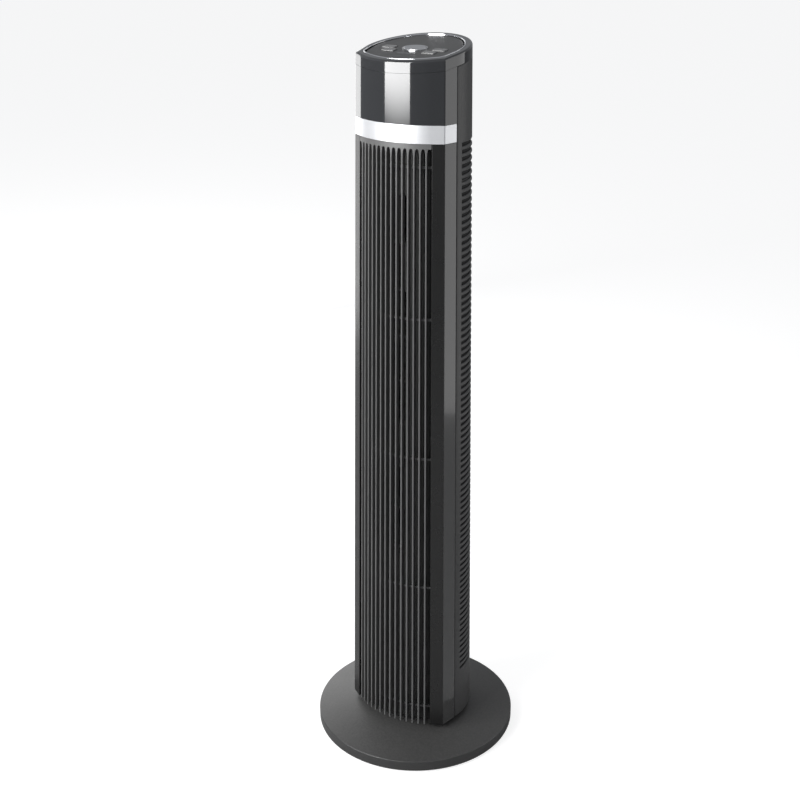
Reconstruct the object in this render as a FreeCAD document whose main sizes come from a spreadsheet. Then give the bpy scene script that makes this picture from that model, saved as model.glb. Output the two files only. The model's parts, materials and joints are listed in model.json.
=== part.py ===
import FreeCAD, Part
import math
import os
from types import SimpleNamespace

import Sketcher
from FreeCAD import Placement, Rotation, Vector

# Tower fan on a round base. Millimetres, +Z up, the origin on the floor under the
# middle of the base, the air outlet facing -Y.
# The tower narrows with height: every upright shell follows straight lines that
# meet in one point far above it, so each plan outline is the foot outline, scaled.

SIZES = [
    # base
    ("base_radius", 117.0, "round base"),
    ("rim_height", 12.5, "upright edge of the base"),
    ("dome_rise", 10.5, "base, from its rim up to the seat of the tower"),
    ("seat_radius", 58.0, "flat seat in the middle of the base"),
    ("base_wall", 3.0, "moulded wall of the base"),
    ("base_edge", 1.5, "bevel along the top of the rim"),
    ("cover_thickness", 2.0, "plate that closes the base from below"),
    ("weight_inner", 44.0, "steel weight, inner radius"),
    ("weight_inset", 25.0, "steel weight, in from the edge of the base"),
    ("weight_thickness", 5.0, "steel weight"),
    ("foot_height", 2.5, "rubber feet"),
    ("foot_radius", 6.5, "rubber feet"),
    ("feet_inset", 11.0, "rubber feet, in from the edge of the base"),
    ("feet_count", 12.0, "rubber feet"),
    ("boss_radius", 4.0, "screw bosses under the base"),
    ("boss_inset", 16.0, "screw bosses, in from the edge of the base"),
    ("boss_count", 6.0, "screw bosses"),
    ("boss_floor", 2.0, "plastic left above the bore of a boss"),
    ("screw_radius", 1.5, "screws of the base and the motor"),
    ("screw_length", 8.0, "screws of the base"),
    ("screw_head_radius", 3.0, "screw heads"),
    ("screw_head_height", 1.6, "screw heads"),
    # swivel
    ("post_radius", 15.0, "hollow post that the tower turns on"),
    ("post_bore", 11.0, "bore of the post"),
    ("post_flange", 30.0, "flange of the post"),
    ("flange_thickness", 3.0, "flange of the post"),
    ("glide_inner", 34.0, "glide ring, inner radius"),
    ("glide_outer", 50.0, "glide ring, outer radius"),
    ("glide_thickness", 2.0, "glide ring"),
    ("neck_radius", 54.0, "round neck under the tower"),
    ("hub_wall", 6.0, "hub of the swivel plate"),
    ("gear_module", 1.0, "swing gears, pitch diameter per tooth"),
    ("gear_teeth", 60.0, "fixed gear on the post"),
    ("pinion_teeth", 15.0, "pinion of the swing motor"),
    ("gear_height", 6.0, "fixed gear"),
    ("gear_lift", 1.2, "space between the hub and the fixed gear"),
    ("clip_width", 4.0, "ring that holds the tower down"),
    ("clip_thickness", 2.0, "ring that holds the tower down"),
    # swing motor
    ("pinion_lip", 0.3, "pinion past the fixed gear, at each end"),
    ("swing_shaft_radius", 2.5, "shaft of the swing motor"),
    ("swing_shaft_reach", 8.0, "that shaft, inside its motor"),
    ("bracket_lift", 0.6, "space between the post clip and the bracket"),
    ("bracket_thickness", 2.5, "plate of the bracket"),
    ("bracket_length", 30.0, "plate of the bracket"),
    ("bracket_width", 52.0, "plate of the bracket"),
    ("bracket_shift", 3.0, "plate of the bracket, outside the pinion"),
    ("bracket_clearance", 1.5, "hole in the bracket, round the shaft"),
    ("leg_length", 22.0, "legs of the bracket"),
    ("leg_thickness", 5.0, "legs of the bracket"),
    ("leg_shift", 4.0, "legs of the bracket, outside the pinion"),
    ("swing_motor_radius", 14.0, "swing motor"),
    ("swing_motor_height", 19.0, "swing motor"),
    ("ear_span", 42.0, "ears of the swing motor"),
    ("ear_width", 8.0, "ears of the swing motor"),
    ("ear_thickness", 1.2, "ears of the swing motor"),
    # outline of the tower at its foot
    ("tower_foot", 29.0, "lower edge of the tower shells"),
    ("tower_length", 676.0, "tower, from its foot to the silver band"),
    ("band_height", 18.0, "silver band"),
    ("head_height", 46.0, "gloss head, from the band to the cap, at the front"),
    ("cap_height", 11.5, "top cap, at the front"),
    ("top_slope", 10.0, "slope of the top in degrees, rising to the back"),
    ("taper", 0.151, "share of its width that the tower loses at the band"),
    ("taper_back", 20.5, "how far behind the middle the taper is centred"),
    ("front_radius", 99.8, "curve of the grille"),
    ("front_reach", 60.3, "grille in front of the middle"),
    ("grille_angle", 31.0, "half the angle that the grille covers"),
    ("strip_width", 15.0, "plain strip beside the grille"),
    ("rear_radius", 68.8, "curve of the rear housing"),
    ("rear_centre", 5.0, "how far in front of the middle that curve is centred"),
    ("seam_angle", 10.7, "seam between front and rear, in front of square"),
    ("wall", 2.5, "wall of the tower shells"),
    ("seam_gap", 0.2, "seams between shells"),
    ("hair_gap", 0.1, "close seams round the band, the trim ring and the panel"),
    # grille and louvres
    ("fin_count", 14.0, "upright fins"),
    ("fin_pitch", 4.2, "degrees from fin to fin"),
    ("fin_thickness", 2.0, "fins at their front edge"),
    ("fin_depth", 8.0, "fins from front to back"),
    ("fin_back", 0.7, "thickness of the fins at their back, as a share of the front"),
    ("fin_wide", 0.85, "fins at their wide end, as a share of their pitch"),
    ("fin_flare", 9.0, "stretch where the fins widen into their header"),
    ("header_height", 5.0, "header above the fins"),
    ("rail_height", 2.5, "cross rails behind the fins"),
    ("rail_depth", 2.0, "cross rails behind the fins"),
    ("rail_count", 5.0, "cross rails behind the fins"),
    ("rail_margin", 20.0, "outermost rails, in from the ends of the fins"),
    ("screen_gap", 5.0, "space between the fins and the inner wall"),
    ("screen_wall", 2.0, "inner wall with the outlet"),
    ("outlet_left", 32.0, "outlet, left of the middle"),
    ("outlet_right", 14.0, "outlet, right of the middle"),
    ("louvre_pitch", 7.17, "from slot to slot"),
    ("louvre_slot", 3.4, "height of a slot"),
    ("louvre_count", 86.0, "slots from the top down"),
    ("louvre_drop", 2.0, "louvres below the silver band"),
    ("louvre_margin", 9.0, "degrees of plain wall beside the seam"),
    ("spine_angle", 4.0, "half the plain spine down the middle of the back"),
    ("filter_thickness", 2.5, "dust filter behind the louvres"),
    ("filter_overlap", 3.0, "dust filter past the lowest slots"),
    ("filter_trim", 4.0, "degrees of bare wall between the seam and the dust filter"),
    # blower
    ("axis_back", 8.0, "blower axis behind the middle"),
    ("wheel_radius", 38.0, "blower wheel"),
    ("wheel_bottom", 241.0, "lower face of the blower wheel"),
    ("segment_pitch", 51.0, "length of one segment of the wheel"),
    ("segment_count", 8.0, "segments of the wheel"),
    ("disc_thickness", 2.0, "discs of the wheel"),
    ("blade_count", 28.0, "blades around the wheel"),
    ("blade_depth", 8.4, "blades, inwards"),
    ("blade_thickness", 1.2, "blades"),
    ("deck_thickness", 3.0, "decks across the tower"),
    ("deck_gap", 9.0, "space between the wheel and the deck above it"),
    ("deck_front", 24.0, "front edge of the decks"),
    ("head_deck_lift", 2.0, "deck of the head, above the foot of the band"),
    ("scroll_gap", 4.0, "space between the wheel and its scroll"),
    ("scroll_wall", 1.8, "scroll"),
    ("shaft_radius", 4.0, "motor shaft"),
    ("stub_radius", 3.0, "stub at the top of the wheel"),
    ("running_gap", 0.05, "radial play of shafts in their bushes"),
    ("bush_wall", 4.0, "bronze bushes"),
    ("bush_height", 6.0, "bronze bushes"),
    ("motor_radius", 35.0, "motor"),
    ("motor_height", 46.0, "motor"),
    ("motor_wall", 2.0, "motor shells"),
    ("motor_drop", 32.0, "space between the motor and the deck above it"),
    ("rotor_radius", 18.0, "rotor"),
    ("air_gap", 0.5, "rotor to stator"),
    ("core_inset", 11.0, "stator and rotor, in from the ends of the motor"),
    ("winding_height", 6.0, "windings past the stator"),
    ("flange_width", 8.0, "flange of the motor"),
    ("mount_height", 4.0, "rubber mounts of the motor"),
    ("mount_radius", 4.0, "rubber mounts of the motor"),
    ("mount_thickness", 2.5, "plate that the motor hangs from"),
    ("mount_post_radius", 3.5, "posts between that plate and the deck"),
    ("deck_bore", 12.0, "holes in the decks round the wheel's ends"),
    ("holder_rim", 3.0, "rubber bush holder on the deck"),
    ("holder_lip", 1.5, "rubber bush holder above the deck"),
    # electrics
    ("board_foot", 70.0, "power board, above the floor"),
    ("board_height", 52.0, "power board"),
    ("board_length", 70.0, "power board"),
    ("board_back", 30.0, "power board behind the middle"),
    ("rail_size", 8.0, "rails of the power board"),
    ("rail_slot", 2.0, "slots in those rails"),
    ("rail_grip", 3.0, "power board, inside its rails"),
    ("inlet_height", 48.0, "cord gland, above the floor"),
    ("gland_radius", 6.0, "cord gland"),
    ("gland_flange", 9.0, "flange of the cord gland"),
    ("gland_flange_height", 2.4, "flange of the cord gland"),
    ("gland_nut", 8.0, "nut of the cord gland"),
    ("gland_nut_height", 3.2, "nut of the cord gland"),
    ("gland_bore", 3.6, "bore of the cord gland"),
    # head
    ("cap_bevel", 2.0, "shoulder of the cap"),
    ("rim_corner", 14.0, "rounded corners of the trim ring"),
    ("rim_inset", 7.5, "trim ring, in from the outline"),
    ("rim_width", 1.8, "trim ring"),
    ("rim_stand", 0.6, "trim ring above the cap"),
    ("panel_drop", 0.8, "panel below the cap"),
    ("panel_thickness", 2.5, "control panel"),
    ("ledge_width", 5.0, "ledge under the panel"),
    ("board_drop", 8.0, "space between the panel and its board"),
    ("board_thickness", 1.6, "circuit boards"),
    ("power_length", 25.0, "power button, across"),
    ("power_depth", 16.0, "power button, front to back"),
    ("power_forward", 1.0, "power button in front of the middle"),
    ("key_length", 15.0, "keys, across"),
    ("key_depth", 8.0, "keys, front to back"),
    ("key_out", 28.0, "keys, to each side of the middle"),
    ("key_stand", 0.9, "keys above the panel"),
    ("key_gap", 0.4, "gap round the keys"),
    ("key_height", 6.0, "keys"),
    ("key_corner", 1.5, "corners of the keys"),
    ("key_front", 11.5, "front row of keys, in front of the middle"),
    ("key_back", 1.5, "rear row of keys, in front of the middle"),
    ("key_shift", 4.0, "front row of keys, towards the middle"),
    ("key_spread", 2.0, "rear row of keys, away from the middle"),
    ("power_stand", 0.3, "power button above the keys"),
    ("bezel_width", 1.6, "ring round the power button"),
    ("bezel_stand", 0.8, "ring round the power button, above the panel"),
    ("lens_length", 20.0, "clear strip over the lamps"),
    ("lens_depth", 3.0, "clear strip over the lamps"),
    ("lens_thickness", 1.2, "clear strip over the lamps"),
    ("lens_forward", 17.0, "clear strip in front of the power button"),
    ("fixing_radius", 3.5, "posts under the panel"),
    ("fixing_screw", 1.5, "screws into those posts"),
    ("fixing_side", 35.0, "front posts, to each side"),
    ("fixing_front", 11.0, "front posts, behind the middle"),
    ("fixing_back_side", 18.0, "rear posts, to each side"),
    ("fixing_back", 34.0, "rear posts, behind the middle"),
    ("control_board_radius", 41.0, "control board"),
    ("control_board_front", 31.0, "control board in front of the middle"),
    ("switch_size", 6.0, "switches under the keys"),
    ("switch_travel", 1.3, "space between a switch and its key"),
    ("buzzer_radius", 6.0, "buzzer"),
    ("buzzer_height", 4.5, "buzzer"),
]


class Size:
    """A number together with the spreadsheet formula that gives it."""

    def __init__(self, value, formula):
        self.value = value
        self.formula = formula

    def joined(self, other, sign, value):
        text = other.formula if isinstance(other, Size) else repr(other)
        return Size(value, f"({self.formula} {sign} {text})")

    def __float__(self):
        return self.value

    def __add__(self, other):
        return self.joined(other, "+", self.value + float(other))

    def __sub__(self, other):
        return self.joined(other, "-", self.value - float(other))

    def __mul__(self, other):
        return self.joined(other, "*", self.value * float(other))

    def __truediv__(self, other):
        return self.joined(other, "/", self.value / float(other))

    def __neg__(self):
        return Size(-self.value, f"(0 - {self.formula})")


doc = FreeCAD.newDocument("TowerFan")
zero = Size(0.0, "0")
past = 5.0  # how far cutters reach past what they cut
tall = 60.0  # raw shells above the top, before the slope trims them


def fill_sheet():
    """Put every driving size into the spreadsheet and return them by name."""
    sheet = doc.addObject("Spreadsheet::Sheet", "Sizes")
    for row, (name, value, note) in enumerate(SIZES, start=1):
        sheet.set(f"A{row}", note)
        sheet.set(f"B{row}", str(value))
        sheet.setAlias(f"B{row}", name)
    doc.recompute()
    return SimpleNamespace(**{name: Size(float(sheet.get(name)), f"Sizes.{name}")
                              for name, value, note in SIZES})


s = fill_sheet()
nodes = []
tower_screws = []

# Heights that follow from the driving sizes.
plate_rim = s.foot_height + s.rim_height
plate_top = plate_rim + s.dome_rise
cover_top = s.foot_height + s.cover_thickness
feet_circle = s.base_radius - s.feet_inset
boss_circle = s.base_radius - s.boss_inset
weight_outer = s.base_radius - s.weight_inset
glide_top = plate_top + s.glide_thickness
hub_foot = glide_top + s.running_gap
closure_top = s.tower_foot + s.deck_thickness
gear_foot = closure_top + s.gear_lift + s.running_gap
gear_top = gear_foot + s.gear_height
band_foot = s.tower_foot + s.tower_length
band_top = band_foot + s.band_height
seam_height = band_top + s.head_height
top_height = seam_height + s.cap_height
wheel_length = s.segment_pitch * s.segment_count
wheel_foot = s.wheel_bottom + s.disc_thickness
wheel_top = wheel_foot + wheel_length
floor_top = s.wheel_bottom - s.deck_gap
floor_foot = floor_top - s.deck_thickness
roof_foot = wheel_top + s.disc_thickness + s.deck_gap
roof_top = roof_foot + s.deck_thickness
motor_top = floor_foot - s.motor_drop
motor_foot = motor_top - s.motor_height
gear_pitch_radius = s.gear_module * s.gear_teeth / 2
pinion_pitch_radius = s.gear_module * s.pinion_teeth / 2
pinion_out = gear_pitch_radius + pinion_pitch_radius


def bind(thing, name, size):
    """Set a property to a size, through its formula when it has one."""
    if isinstance(size, Size):
        thing.setExpression(name, size.formula)
    else:
        setattr_by_path(thing, name, size)


def setattr_by_path(thing, name, number):
    """Set a plain number on a property or on one part of its placement."""
    if name.startswith("Placement.Base."):
        spot = thing.Placement
        setattr(spot.Base, name[-1], float(number))
        thing.Placement = spot
    else:
        setattr(thing, name, number)


def place(thing, x, y, z):
    for axis, size in zip("xyz", (x, y, z)):
        bind(thing, "Placement.Base." + axis, size)


def node(thing, label):
    """Give a finished sub-part the name of its file."""
    thing.Label = label
    nodes.append(thing)
    return thing


def cylinder(name, radius, height, x=0, y=0, z=0):
    thing = doc.addObject("Part::Cylinder", name)
    bind(thing, "Radius", radius)
    bind(thing, "Height", height)
    place(thing, x, y, z)
    return thing


def box(name, length, width, height, x, y, z):
    """Box centred on x and y, standing on z."""
    thing = doc.addObject("Part::Box", name)
    bind(thing, "Length", length)
    bind(thing, "Width", width)
    bind(thing, "Height", height)
    place(thing, x - length / 2, y - width / 2, z)
    return thing


def joined(name, things):
    thing = doc.addObject("Part::MultiFuse", name)
    thing.Shapes = things
    return thing


def cut(name, base, tool):
    thing = doc.addObject("Part::Cut", name)
    thing.Base = base
    thing.Tool = tool
    return thing


def group(label, things):
    """Several separate solids of one kind in one node."""
    thing = doc.addObject("Part::Compound", label)
    thing.Links = things
    return node(thing, label)


def shaped(label, shape, placement=None):
    """A sub-part whose shape is worked out by Part's own functions."""
    thing = doc.addObject("Part::Feature", label)
    thing.Shape = shape
    if placement:
        thing.Placement = placement
    return node(thing, label)


def around(count, circle, start=0.0):
    """Places on a circle, as pairs of sizes."""
    step = 2 * math.pi / count
    turns = [math.radians(start) + step * i for i in range(count)]
    return [(circle * math.cos(a), circle * math.sin(a)) for a in turns]


def sketch_on(body, name, plane):
    sketch = body.newObject("Sketcher::SketchObject", name)
    planes = [o for o in body.Origin.OriginFeatures if o.Role == plane]
    sketch.AttachmentSupport = [(planes[0], "")]
    sketch.MapMode = "FlatFace"
    return sketch


def pin(sketch, geometry, point, across, up):
    """Hold one point of a sketch at its two sizes."""
    for kind, axis, size in (("DistanceX", -2, across), ("DistanceY", -1, up)):
        if abs(float(size)) < 1e-9:
            sketch.addConstraint(Sketcher.Constraint("PointOnObject", geometry, point, axis))
            continue
        number = sketch.addConstraint(
            Sketcher.Constraint(kind, -1, 1, geometry, point, float(size)))
        if isinstance(size, Size):
            sketch.setExpression(f"Constraints[{number}]", size.formula)


def draw_corners(sketch, corners):
    first = sketch.GeometryCount
    spots = [Vector(float(a), float(b), 0) for a, b in corners]
    count = len(spots)
    for i, spot in enumerate(spots):
        sketch.addGeometry(Part.LineSegment(spot, spots[(i + 1) % count]), False)
    for i in range(count):
        link = Sketcher.Constraint("Coincident", first + i, 2, first + (i + 1) % count, 1)
        sketch.addConstraint(link)
    for i, (across, up) in enumerate(corners):
        pin(sketch, first + i, 1, across, up)


def draw_circle(sketch, radius, across, up):
    centre = Vector(float(across), float(up), 0)
    circle = Part.Circle(centre, Vector(0, 0, 1), float(radius))
    number = sketch.addGeometry(circle, False)
    ring = sketch.addConstraint(Sketcher.Constraint("Radius", number, float(radius)))
    sketch.setExpression(f"Constraints[{ring}]", radius.formula)
    pin(sketch, number, 3, across, up)


def turned_body(label, corners):
    """A body spun about its own Z axis from corners given as radius and height."""
    body = doc.addObject("PartDesign::Body", label)
    sketch = sketch_on(body, label + "_profile", "XZ_Plane")
    draw_corners(sketch, corners)
    spin = body.newObject("PartDesign::Revolution", label + "_spin")
    spin.Profile = sketch
    spin.ReferenceAxis = (sketch, ["V_Axis"])
    spin.Angle = 360
    doc.recompute()
    return body


def turned(label, corners, x=0, y=0, z=0):
    body = turned_body(label, corners)
    place(body, x, y, z)
    return node(body, label)


def tube_corners(inner, outer, foot, top):
    return [(inner, foot), (outer, foot), (outer, top), (inner, top)]


def padded_body(label, draw, foot, height):
    """A body padded up from its foot; draw fills the sketch."""
    body = doc.addObject("PartDesign::Body", label)
    sketch = sketch_on(body, label + "_outline", "XY_Plane")
    bind(sketch, "AttachmentOffset.Base.z", foot)
    draw(sketch)
    pad = body.newObject("PartDesign::Pad", label + "_pad")
    pad.Profile = sketch
    bind(pad, "Length", height)
    doc.recompute()
    return body


def drill(body, name, radius, spots, foot, height):
    """Pocket round holes upwards from a foot; stops if nothing was cut."""
    before = body.Shape.Volume
    sketch = sketch_on(body, name + "_circles", "XY_Plane")
    bind(sketch, "AttachmentOffset.Base.z", foot)
    for x, y in spots:
        draw_circle(sketch, radius, x, y)
    pocket = body.newObject("PartDesign::Pocket", name)
    pocket.Profile = sketch
    bind(pocket, "Length", height)
    pocket.Reversed = True
    doc.recompute()
    if body.Shape.Volume >= before:
        raise RuntimeError(name + " cuts nothing")


# ---- outline of the tower -------------------------------------------------------


def share_at(height):
    """Width of the tower at a height, as a share of its width at the foot."""
    return 1 - float(s.taper) * (height - float(s.tower_foot)) / float(s.tower_length)


def scaled(spot, height):
    """A point of the foot outline, moved up along its tapering line."""
    share = share_at(height)
    back = float(s.taper_back)
    return Vector(spot.x * share, back + (spot.y - back) * share, height)


def front_centre():
    return float(s.front_radius) - float(s.front_reach)


def front_point(radius, degrees):
    """Point on a curve about the grille's own centre; 0 degrees faces the front."""
    turn = math.radians(degrees)
    return Vector(radius * math.sin(turn), front_centre() - radius * math.cos(turn), 0)


def rear_point(radius, degrees):
    """Point on a curve about the rear housing's centre; 90 degrees is the back."""
    turn = math.radians(degrees)
    return Vector(radius * math.cos(turn), radius * math.sin(turn) - float(s.rear_centre), 0)


def crossing(start_a, along_a, start_b, along_b):
    """Where two lines in plan meet."""
    turn = along_a.x * along_b.y - along_a.y * along_b.x
    gap = start_b - start_a
    reach = (gap.x * along_b.y - gap.y * along_b.x) / turn
    return start_a + along_a * reach


def side_corners(inset=0.0):
    """Grille edge, corner and seam on the right-hand side, set in by a distance."""
    half = float(s.grille_angle)
    turn = math.radians(half)
    along_strip = Vector(math.cos(turn), math.sin(turn), 0)
    edge = front_point(float(s.front_radius), half)
    corner = edge + along_strip * float(s.strip_width)
    seam = rear_point(float(s.rear_radius), -float(s.seam_angle))
    along_trim = (seam - corner).normalize()
    inward = Vector(-along_trim.y, along_trim.x, 0)
    inner_edge = front_point(float(s.front_radius) - inset, half)
    inner_corner = crossing(inner_edge, along_strip, corner + inward * inset, along_trim)
    inner_seam = rear_point(float(s.rear_radius) - inset, -float(s.seam_angle))
    return inner_edge, inner_corner, inner_seam


def mirrored(spot):
    return Vector(-spot.x, spot.y, spot.z)


def wire_at(edges, height):
    """Edges given as two or three points each, moved up to a height."""
    made = []
    for spots in edges:
        moved = [scaled(spot, height) for spot in spots]
        maker = Part.LineSegment if len(moved) == 2 else Part.Arc
        made.append(maker(*moved).toShape())
    return Part.Wire(made)


def tapered(edges, foot, top):
    """Solid between the scaled outlines at two heights."""
    return Part.makeLoft([wire_at(edges, foot), wire_at(edges, top)], True, True)


def polygon(spots):
    return [(spot, spots[(i + 1) % len(spots)]) for i, spot in enumerate(spots)]


def front_path(inset):
    """Edges of the front from the left seam to the right seam."""
    edge, corner, seam = side_corners(inset)
    nose = front_point(float(s.front_radius) - inset, 0)
    return [(mirrored(seam), mirrored(corner)), (mirrored(corner), mirrored(edge)),
            (mirrored(edge), nose, edge), (edge, corner), (corner, seam)]


def rear_path(inset, trim=0.0):
    """The rear curve, from the right seam round the back to the left seam."""
    start = trim - float(s.seam_angle)
    radius = float(s.rear_radius) - inset
    return [(rear_point(radius, start), rear_point(radius, 90), rear_point(radius, 180 - start))]


def reversed_path(edges):
    return [tuple(reversed(edge)) for edge in reversed(edges)]


def closed_path(outer, inner):
    """A wall between an outer and an inner path, closed at both ends."""
    back = reversed_path(inner)
    return (outer + [(outer[-1][-1], back[0][0])] + back + [(back[-1][-1], outer[0][0])])


def full_outline(inset):
    return front_path(inset) + rear_path(inset)


def offset_face(inset, height):
    """The whole outline at a height, set in evenly by a distance."""
    wire = wire_at(full_outline(0.0), height)
    if inset:
        wire = wire.makeOffset2D(-inset, 0)
    return Part.Face(wire)


def sloped_solid(height):
    """Everything below the sloped plane that passes the front of the tower."""
    reach = 3 * float(s.base_radius)
    depth = 2 * height
    front = -float(s.front_reach)
    lump = Part.makeBox(2 * reach, 2 * reach, depth, Vector(-reach, front - reach / 2, -depth))
    lump.rotate(Vector(0, front, 0), Vector(1, 0, 0), float(s.top_slope))
    lump.translate(Vector(0, 0, height))
    return lump


def on_top(x, y, drop):
    """Placement on the sloped top: x and y along its face, and a depth below it."""
    slope = math.radians(float(s.top_slope))
    middle = Vector(0, 0, float(top_height) + float(s.front_reach) * math.tan(slope))
    along = Vector(0, math.cos(slope), math.sin(slope))
    normal = Vector(0, -math.sin(slope), math.cos(slope))
    spot = middle + Vector(x, 0, 0) + along * y - normal * drop
    return Placement(spot, Rotation(Vector(1, 0, 0), float(s.top_slope)))


# ---- base -----------------------------------------------------------------------


def boss_spots():
    return around(int(s.boss_count.value), boss_circle, 15.0)


def make_base_plate():
    under = plate_top - s.base_wall
    bore = s.post_radius + s.running_gap
    body = turned_body("base_plate", [
        (bore, under), (bore, plate_top), (s.seat_radius, plate_top),
        (s.base_radius - s.base_edge, plate_rim), (s.base_radius, plate_rim - s.base_edge),
        (s.base_radius, s.foot_height), (s.base_radius - s.base_wall, s.foot_height),
        (s.base_radius - s.base_wall, plate_rim - s.base_wall), (s.seat_radius, under)])
    sketch = sketch_on(body, "boss_circles", "XY_Plane")
    bind(sketch, "AttachmentOffset.Base.z", cover_top)
    x, y = boss_spots()[0]
    draw_circle(sketch, s.boss_radius, x, y)
    boss = body.newObject("PartDesign::Pad", "boss_pad")
    boss.Profile = sketch
    bind(boss, "Length", s.rim_height - s.base_wall)
    doc.recompute()
    ring = body.newObject("PartDesign::PolarPattern", "boss_ring")
    ring.Originals = [boss]
    ring.Axis = (sketch, ["N_Axis"])
    ring.Angle = 360
    ring.Occurrences = len(boss_spots())
    body.Tip = ring
    doc.recompute()
    drill(body, "boss_bores", s.screw_radius + s.running_gap, boss_spots(), cover_top,
          s.rim_height - s.base_wall - s.boss_floor)
    return node(body, "base_plate")


def screw(name, x, y, top, length, head_up=True):
    """A pan head screw, its head's seat at a height."""
    head_foot = top if head_up else top - s.screw_head_height
    shank_foot = top - length if head_up else top
    head = cylinder(name + "_head", s.screw_head_radius, s.screw_head_height, x, y, head_foot)
    shank = cylinder(name + "_shank", s.screw_radius, length, x, y, shank_foot)
    return joined(name, [head, shank])


def make_base():
    make_base_plate()
    cover_radius = s.base_radius - s.base_wall - s.seam_gap
    cover = padded_body("base_cover", lambda k: draw_circle(k, cover_radius, 0, 0),
                        s.foot_height, s.cover_thickness)
    drill(cover, "cover_holes", s.screw_radius + s.seam_gap, boss_spots(), s.foot_height,
          s.cover_thickness)
    node(cover, "base_cover")
    turned("base_weight", tube_corners(s.weight_inner, weight_outer, cover_top,
                                       cover_top + s.weight_thickness))
    feet = around(int(s.feet_count.value), feet_circle)
    group("rubber_feet", [cylinder(f"foot_{i}", s.foot_radius, s.foot_height, x, y, 0)
                          for i, (x, y) in enumerate(feet)])
    group("base_screws", [screw(f"base_screw_{i}", x, y, s.foot_height, s.screw_length,
                                head_up=False)
                          for i, (x, y) in enumerate(boss_spots())])
    flange_top = plate_top - s.base_wall
    post_top = gear_top + s.clip_thickness + s.gear_lift
    turned("pivot_post", [
        (s.post_bore, flange_top - s.flange_thickness),
        (s.post_flange, flange_top - s.flange_thickness), (s.post_flange, flange_top),
        (s.post_radius, flange_top), (s.post_radius, post_top), (s.post_bore, post_top)])
    turned("glide_ring", tube_corners(s.glide_inner, s.glide_outer, plate_top, glide_top))
    turned("post_clip", tube_corners(s.post_radius, s.post_radius + s.clip_width, gear_top,
                                     gear_top + s.clip_thickness))


# ---- swing drive ----------------------------------------------------------------


def involute_angle(radius, base):
    """Polar angle that an involute has covered where it reaches a radius."""
    rise = math.sqrt(max((radius / base) ** 2 - 1, 0))
    return rise - math.atan(rise)


PRESSURE_ANGLE = 20.0
TOOTH_TIP = 0.9  # above and below the pitch circle, in modules
TOOTH_ROOT = 1.25
TOOTH_PLAY = 0.08


def gear_shape(teeth, bore, foot, height):
    """Spur gear about the Z axis with one tooth pointing along +X."""
    module = float(s.gear_module)
    pressure = math.radians(PRESSURE_ANGLE)
    pitch = module * teeth / 2
    base = pitch * math.cos(pressure)
    tip = pitch + TOOTH_TIP * module
    root = pitch - TOOTH_ROOT * module
    play = TOOTH_PLAY * module / pitch
    half_tooth = math.pi / 2 / teeth + involute_angle(pitch, base) - play
    start = max(root, base)
    radii = [start + (tip - start) * i / 4 for i in range(5)]
    edges = []
    for tooth in range(teeth):
        middle = 2 * math.pi * tooth / teeth
        flank = [(r, half_tooth - involute_angle(r, base)) for r in radii]
        right = [polar(r, middle - a) for r, a in flank]
        left = [polar(r, middle + a) for r, a in reversed(flank)]
        foot_turn = flank[0][1]
        next_start = polar(root, middle + 2 * math.pi / teeth - foot_turn)
        if start > root + 1e-6:
            edges.append(Part.makeLine(polar(root, middle - foot_turn), right[0]))
        edges.append(smooth_edge(right))
        edges.append(Part.Arc(right[-1], polar(tip, middle), left[0]).toShape())
        edges.append(smooth_edge(left))
        if start > root + 1e-6:
            edges.append(Part.makeLine(left[-1], polar(root, middle + foot_turn)))
        gap_middle = polar(root, middle + math.pi / teeth)
        edges.append(Part.Arc(polar(root, middle + foot_turn), gap_middle, next_start).toShape())
    hole = Part.Face(Part.Wire(Part.makeCircle(bore)))
    face = Part.Face(Part.Wire(edges)).cut(hole)
    solid = face.extrude(Vector(0, 0, height))
    solid.translate(Vector(0, 0, foot))
    return solid


def polar(radius, turn):
    return Vector(radius * math.cos(turn), radius * math.sin(turn), 0)


def smooth_edge(spots):
    curve = Part.BSplineCurve()
    curve.interpolate(spots)
    return curve.toShape()


def make_swing_drive():
    lip = float(s.pinion_lip)
    shaped("fixed_gear", gear_shape(int(s.gear_teeth.value), float(s.post_radius),
                                    float(gear_foot), float(s.gear_height)))
    pinion = gear_shape(int(s.pinion_teeth.value), float(s.swing_shaft_radius),
                        float(gear_foot) - lip, float(s.gear_height) + 2 * lip)
    pinion.translate(Vector(float(pinion_out), 0, 0))
    shaped("drive_pinion", pinion)
    plate_foot = gear_top + s.clip_thickness + s.bracket_lift
    motor_base = plate_foot + s.bracket_thickness
    shaft_length = motor_base - gear_foot + s.swing_shaft_reach
    node(cylinder("swing_shaft", s.swing_shaft_radius, shaft_length, pinion_out, 0, gear_foot),
         "swing_shaft")
    plate = box("bracket_plate", s.bracket_length, s.bracket_width, s.bracket_thickness,
                pinion_out + s.bracket_shift, zero, plate_foot)
    leg_out = (s.bracket_width - s.leg_thickness) / 2
    legs = [box(f"bracket_leg_{i}", s.leg_length, s.leg_thickness, plate_foot - closure_top,
                pinion_out + s.leg_shift, side, closure_top)
            for i, side in enumerate((-leg_out, leg_out))]
    hole = cylinder("bracket_hole", s.swing_shaft_radius + s.bracket_clearance,
                    s.bracket_thickness + past, pinion_out, 0, plate_foot - past / 2)
    node(cut("swing_bracket", joined("bracket_body", [plate] + legs), hole), "swing_bracket")
    can = cylinder("motor_can_small", s.swing_motor_radius, s.swing_motor_height, pinion_out, 0,
                   motor_base)
    ears = box("motor_ears", s.ear_width, s.ear_span, s.ear_thickness, pinion_out, zero,
               motor_base)
    bore = cylinder("small_motor_bore", s.swing_shaft_radius + s.running_gap,
                    s.swing_shaft_reach + 2, pinion_out, 0, motor_base - 1)
    node(cut("swing_motor", joined("small_motor_body", [can, ears]), bore), "swing_motor")


# ---- tower shells ---------------------------------------------------------------


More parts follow.
